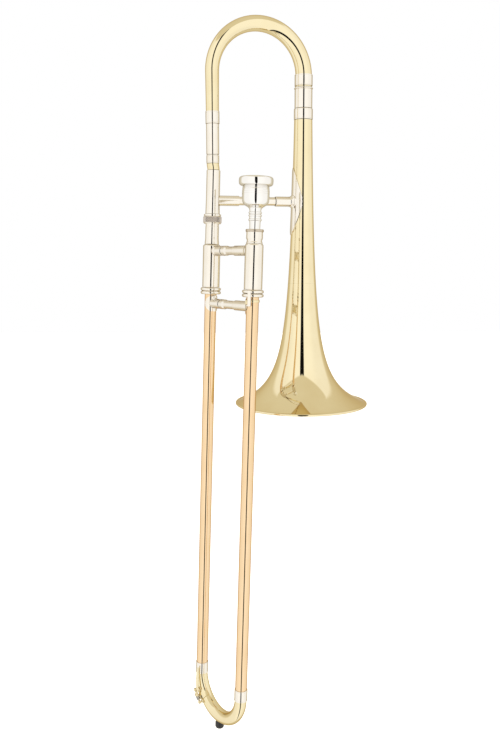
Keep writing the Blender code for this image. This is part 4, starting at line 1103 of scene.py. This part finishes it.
def build_water_key():
    path = crook_path()
    near_crook = moved(solid_wire(path, crook_radii(path, 0.0001), 96), INTO_KEY)
    hinge = Matrix.Translation((KEY_AXIS_DISTANCE, 0, 0))
    build_key_saddle(near_crook.copy(), hinge)

    head = KEY_POST_SPACING / 2 + KEY_POST_BALL_RADIUS
    screw = [(0.0, -head - 0.0006), (0.0011, -head - 0.0006), (0.0014, -head - 0.0002)]
    screw += [(0.0013, -head + 0.0001), (KEY_PIN_RADIUS, -head + 0.0002), (KEY_PIN_RADIUS, head - 0.0006)]
    screw += [(0.0, head - 0.0006)]
    piece("water_key_screw", moved(lathe(soften(screw, 0.0002), 40), hinge), KEY_PLACE, "steel")

    barrel_half = KEY_POST_SPACING / 2 - KEY_POST_BALL_RADIUS - 0.0003
    outward = INTO_KEY @ crook_place(KEY_DISTANCE, KEY_PAD_TURN) @ Matrix.Rotation(pi / 2, 4, "Y")
    barrel = moved(rod(KEY_BARREL_RADIUS, -barrel_half, barrel_half), hinge)
    lever = mesh_object("water_key_lever_fine", barrel, KEY_PLACE)
    boolean(lever, long_arm(), "UNION")
    boolean(lever, short_arm(), "UNION")
    cup = [(0.0, 0.0124), (0.0032, 0.0121), (0.0036, 0.0126), (0.0035, 0.0133), (0.0028, 0.0139)]
    cup += [(0.0, 0.0141)]
    boolean(lever, moved(lathe(soften(cup, 0.0003), 48), outward), "UNION")
    stand_for("water_key_lever", lever, "small_brass")

    cork = [(0.0, 0.0101), (0.0029, 0.0101), (0.0030, 0.0103), (0.0030, 0.0122), (0.0, 0.0122)]
    piece("water_key_cork", moved(lathe(soften(cork, 0.0002), 40), outward), KEY_PLACE, "cork")
    spout = [(0.0, 0.0060), (0.0036, 0.0060), (0.0036, 0.0084), (0.0027, 0.0090), (0.0026, 0.0101)]
    spout += [(0.0016, 0.0101), (0.0016, 0.0062), (0.0, 0.0062)]
    nipple = mesh_object("water_key_spout_fine", moved(lathe(soften(spout, 0.0002), 40), outward), KEY_PLACE)
    boolean(nipple, near_crook, "DIFFERENCE")
    stand_for("water_key_spout", nipple, "nickel_turned")

    coil = []
    coil_radius = 0.0022
    coil_length = 0.0044
    wire_radius = 0.00032
    turns = 5
    steps = 24
    for step in range(turns * steps + 1):
        angle = 2 * pi * step / steps
        along = 0.0002 + coil_length * step / (turns * steps)
        coil.append(Vector((coil_radius * cos(angle), coil_radius * sin(angle), along)))
    spring = solid_wire(coil, [wire_radius] * len(coil), 10)
    piece("water_key_spring", moved(spring, hinge), KEY_PLACE, "steel")


def finish_hidden_nodes():
    """CAD nodes inside the barrels keep their shape and get a better material."""
    finishes = {
        "lower_barrel_spring": "steel",
        "upper_barrel_spring": "steel",
        "lower_barrel_bumper": "cork",
        "upper_barrel_bumper": "cork",
        "leadpipe": "nickel_tube",
        "bumper_post": "small_brass",
    }
    for node, finish in finishes.items():
        NODES[node].data.materials.clear()
        NODES[node].data.materials.append(MATERIALS[finish])


# ---------------------------------------------------------------- studio
ROOM = 0.80                    # the warm room above and behind the soft boxes, as the metal sees it
NEAR_BOX = 1.14                # the soft boxes, beside the gap between them
FAR_BOX = 1.06                 # the soft boxes, towards their outer ends
FLAG = 0.006                   # the dark gap between the soft boxes
TOP_EDGE_RISE = 0.14           # how much the soft boxes' upper edges rise away from the gap
BOX_TINT = (1.0, 0.985, 0.96, 1.0)
ROOM_TINT = (1.0, 0.92, 0.73, 1.0)


def add_steps(tree, value, steps):
    """A value that changes smoothly from one level to the next at each (from, to, change)."""
    total = None
    for low, high, change in steps:
        inputs = {"From Min": low, "From Max": high, "To Max": change}
        node = new_node(tree, "ShaderNodeMapRange", inputs, interpolation_type="SMOOTHSTEP")
        tree.links.new(value, node.inputs["Value"])
        total = node.outputs["Result"] if total is None else calc(tree, "ADD", total, node.outputs["Result"])
    return total


def calc(tree, operation, first, second=None):
    """The output of a maths node whose inputs are numbers or other nodes' outputs."""
    node = new_node(tree, "ShaderNodeMath", operation=operation)
    for index, value in enumerate((first, second)):
        if isinstance(value, (int, float)):
            node.inputs[index].default_value = value
        elif value is not None:
            tree.links.new(value, node.inputs[index])
    return node.outputs[0]


def build_world():
    """Two tall soft boxes with a narrow dark gap between them, in a warmer, duller room above and behind.

    The camera sees a plain white backdrop instead."""
    world = bpy.data.worlds.new("studio")
    bpy.context.scene.world = world
    world.use_nodes = True
    tree = world.node_tree
    place = new_node(tree, "ShaderNodeTexCoord")
    parts = new_node(tree, "ShaderNodeSeparateXYZ")
    link(tree, place, "Generated", parts, "Vector")
    x_out, y_out, z_out = parts.outputs["X"], parts.outputs["Y"], parts.outputs["Z"]
    azimuth = calc(tree, "ABSOLUTE", calc(tree, "ARCTAN2", x_out, calc(tree, "MULTIPLY", y_out, -1.0)))
    level = calc(tree, "SQRT", calc(tree, "ADD", calc(tree, "MULTIPLY", x_out, x_out),
                                    calc(tree, "MULTIPLY", y_out, y_out)))
    elevation = calc(tree, "ARCTAN2", z_out, level)

    boxes = calc(tree, "ADD", FLAG, add_steps(tree, azimuth, [
        (radians(8.0), radians(10.0), NEAR_BOX - FLAG),
        (radians(38), radians(75), FAR_BOX - NEAR_BOX)]))
    top_edge = calc(tree, "SUBTRACT", elevation, calc(tree, "MULTIPLY", azimuth, TOP_EDGE_RISE))
    above = add_steps(tree, top_edge, [(radians(38), radians(42), 1.0)])
    behind = add_steps(tree, azimuth, [(radians(108), radians(124), 1.0)])
    room = calc(tree, "MAXIMUM", above, behind)
    boxes_part = calc(tree, "MULTIPLY", boxes, calc(tree, "SUBTRACT", 1.0, room))
    seen = calc(tree, "ADD", boxes_part, calc(tree, "MULTIPLY", room, ROOM))

    warmth = new_node(tree, "ShaderNodeMixRGB")
    warmth.inputs["Color1"].default_value = BOX_TINT
    warmth.inputs["Color2"].default_value = ROOM_TINT
    tree.links.new(room, warmth.inputs["Fac"])
    studio = tree.nodes["Background"]
    link(tree, warmth, "Color", studio, "Color")
    tree.links.new(seen, studio.inputs["Strength"])
    backdrop = new_node(tree, "ShaderNodeBackground")
    backdrop.inputs["Color"].default_value = (1.0, 1.0, 1.0, 1.0)
    rays = new_node(tree, "ShaderNodeLightPath")
    choose = new_node(tree, "ShaderNodeMixShader")
    link(tree, rays, "Is Camera Ray", choose, "Fac")
    tree.links.new(studio.outputs["Background"], choose.inputs[1])
    tree.links.new(backdrop.outputs["Background"], choose.inputs[2])
    tree.links.new(choose.outputs["Shader"], tree.nodes["World Output"].inputs["Surface"])


def build_floor():
    """A plain pale floor, below the reach of the fully extended hand slide."""
    travel = max(JOINTS["hand_slide"]["range_m"])
    height = cad_low.z - travel - 0.05
    bm = bmesh.new()
    bmesh.ops.create_grid(bm, x_segments=1, y_segments=1, size=9.0)
    floor = mesh_object("floor", bm, Matrix.Translation((0, 0, height)))
    material = bpy.data.materials.new("floor_paint")
    material.use_nodes = True
    shader = material.node_tree.nodes["Principled BSDF"]
    shader.inputs["Base Color"].default_value = (0.86, 0.86, 0.86, 1.0)
    shader.inputs["Roughness"].default_value = 0.9
    shader.inputs["Emission Color"].default_value = (1.0, 1.0, 1.0, 1.0)
    shader.inputs["Emission Strength"].default_value = 0.7
    floor.data.materials.append(material)
    floor.visible_glossy = False


def build_soft_lights():
    """Two large soft boxes in the same directions as the bright parts of the studio's walls."""
    centre = (cad_low + cad_high) / 2
    for name, azimuth in (("soft_box_left", -48), ("soft_box_right", 48)):
        light = bpy.data.lights.new(name, "AREA")
        light.shape = "RECTANGLE"
        light.size = 1.6
        light.size_y = 2.2
        light.energy = 14.0
        lamp = bpy.data.objects.new(name, light)
        bpy.context.scene.collection.objects.link(lamp)
        angle = radians(azimuth)
        away = Vector((sin(angle), -cos(angle), 0.25)) * 3.0
        lamp.location = centre + away
        lamp.rotation_euler = away.to_track_quat("Z", "Y").to_euler()
        lamp.visible_camera = False
        lamp.visible_glossy = False


CAMERA_LENS = 38.52
CAMERA_SENSOR = 36.0
CAMERA_PLACE = (-0.0643, -0.9966, 0.1936)
CAMERA_RIGHT = (1.0, -0.00028, -0.00173)
CAMERA_FORWARD = (0.0, 0.98757, -0.15717)


def build_camera():
    """In front of the player's side and a little above the middle, looking slightly down."""
    data = bpy.data.cameras.new("camera")
    data.lens = CAMERA_LENS
    data.sensor_width = CAMERA_SENSOR
    camera = bpy.data.objects.new("camera", data)
    bpy.context.scene.collection.objects.link(camera)
    backward = -Vector(CAMERA_FORWARD)
    camera.matrix_world = place_along(CAMERA_PLACE, backward, CAMERA_RIGHT)
    bpy.context.scene.camera = camera


build_bell()
build_gooseneck()
build_lock_nut()
build_bell_brace()
build_tuning_slide()
build_inner_slide()
build_slide_lock()
build_mouthpiece()
build_outer_slide()
build_bumper()
build_water_key()
finish_hidden_nodes()
build_world()
build_floor()
build_soft_lights()
build_camera()
bpy.context.scene.view_settings.view_transform = "Standard"
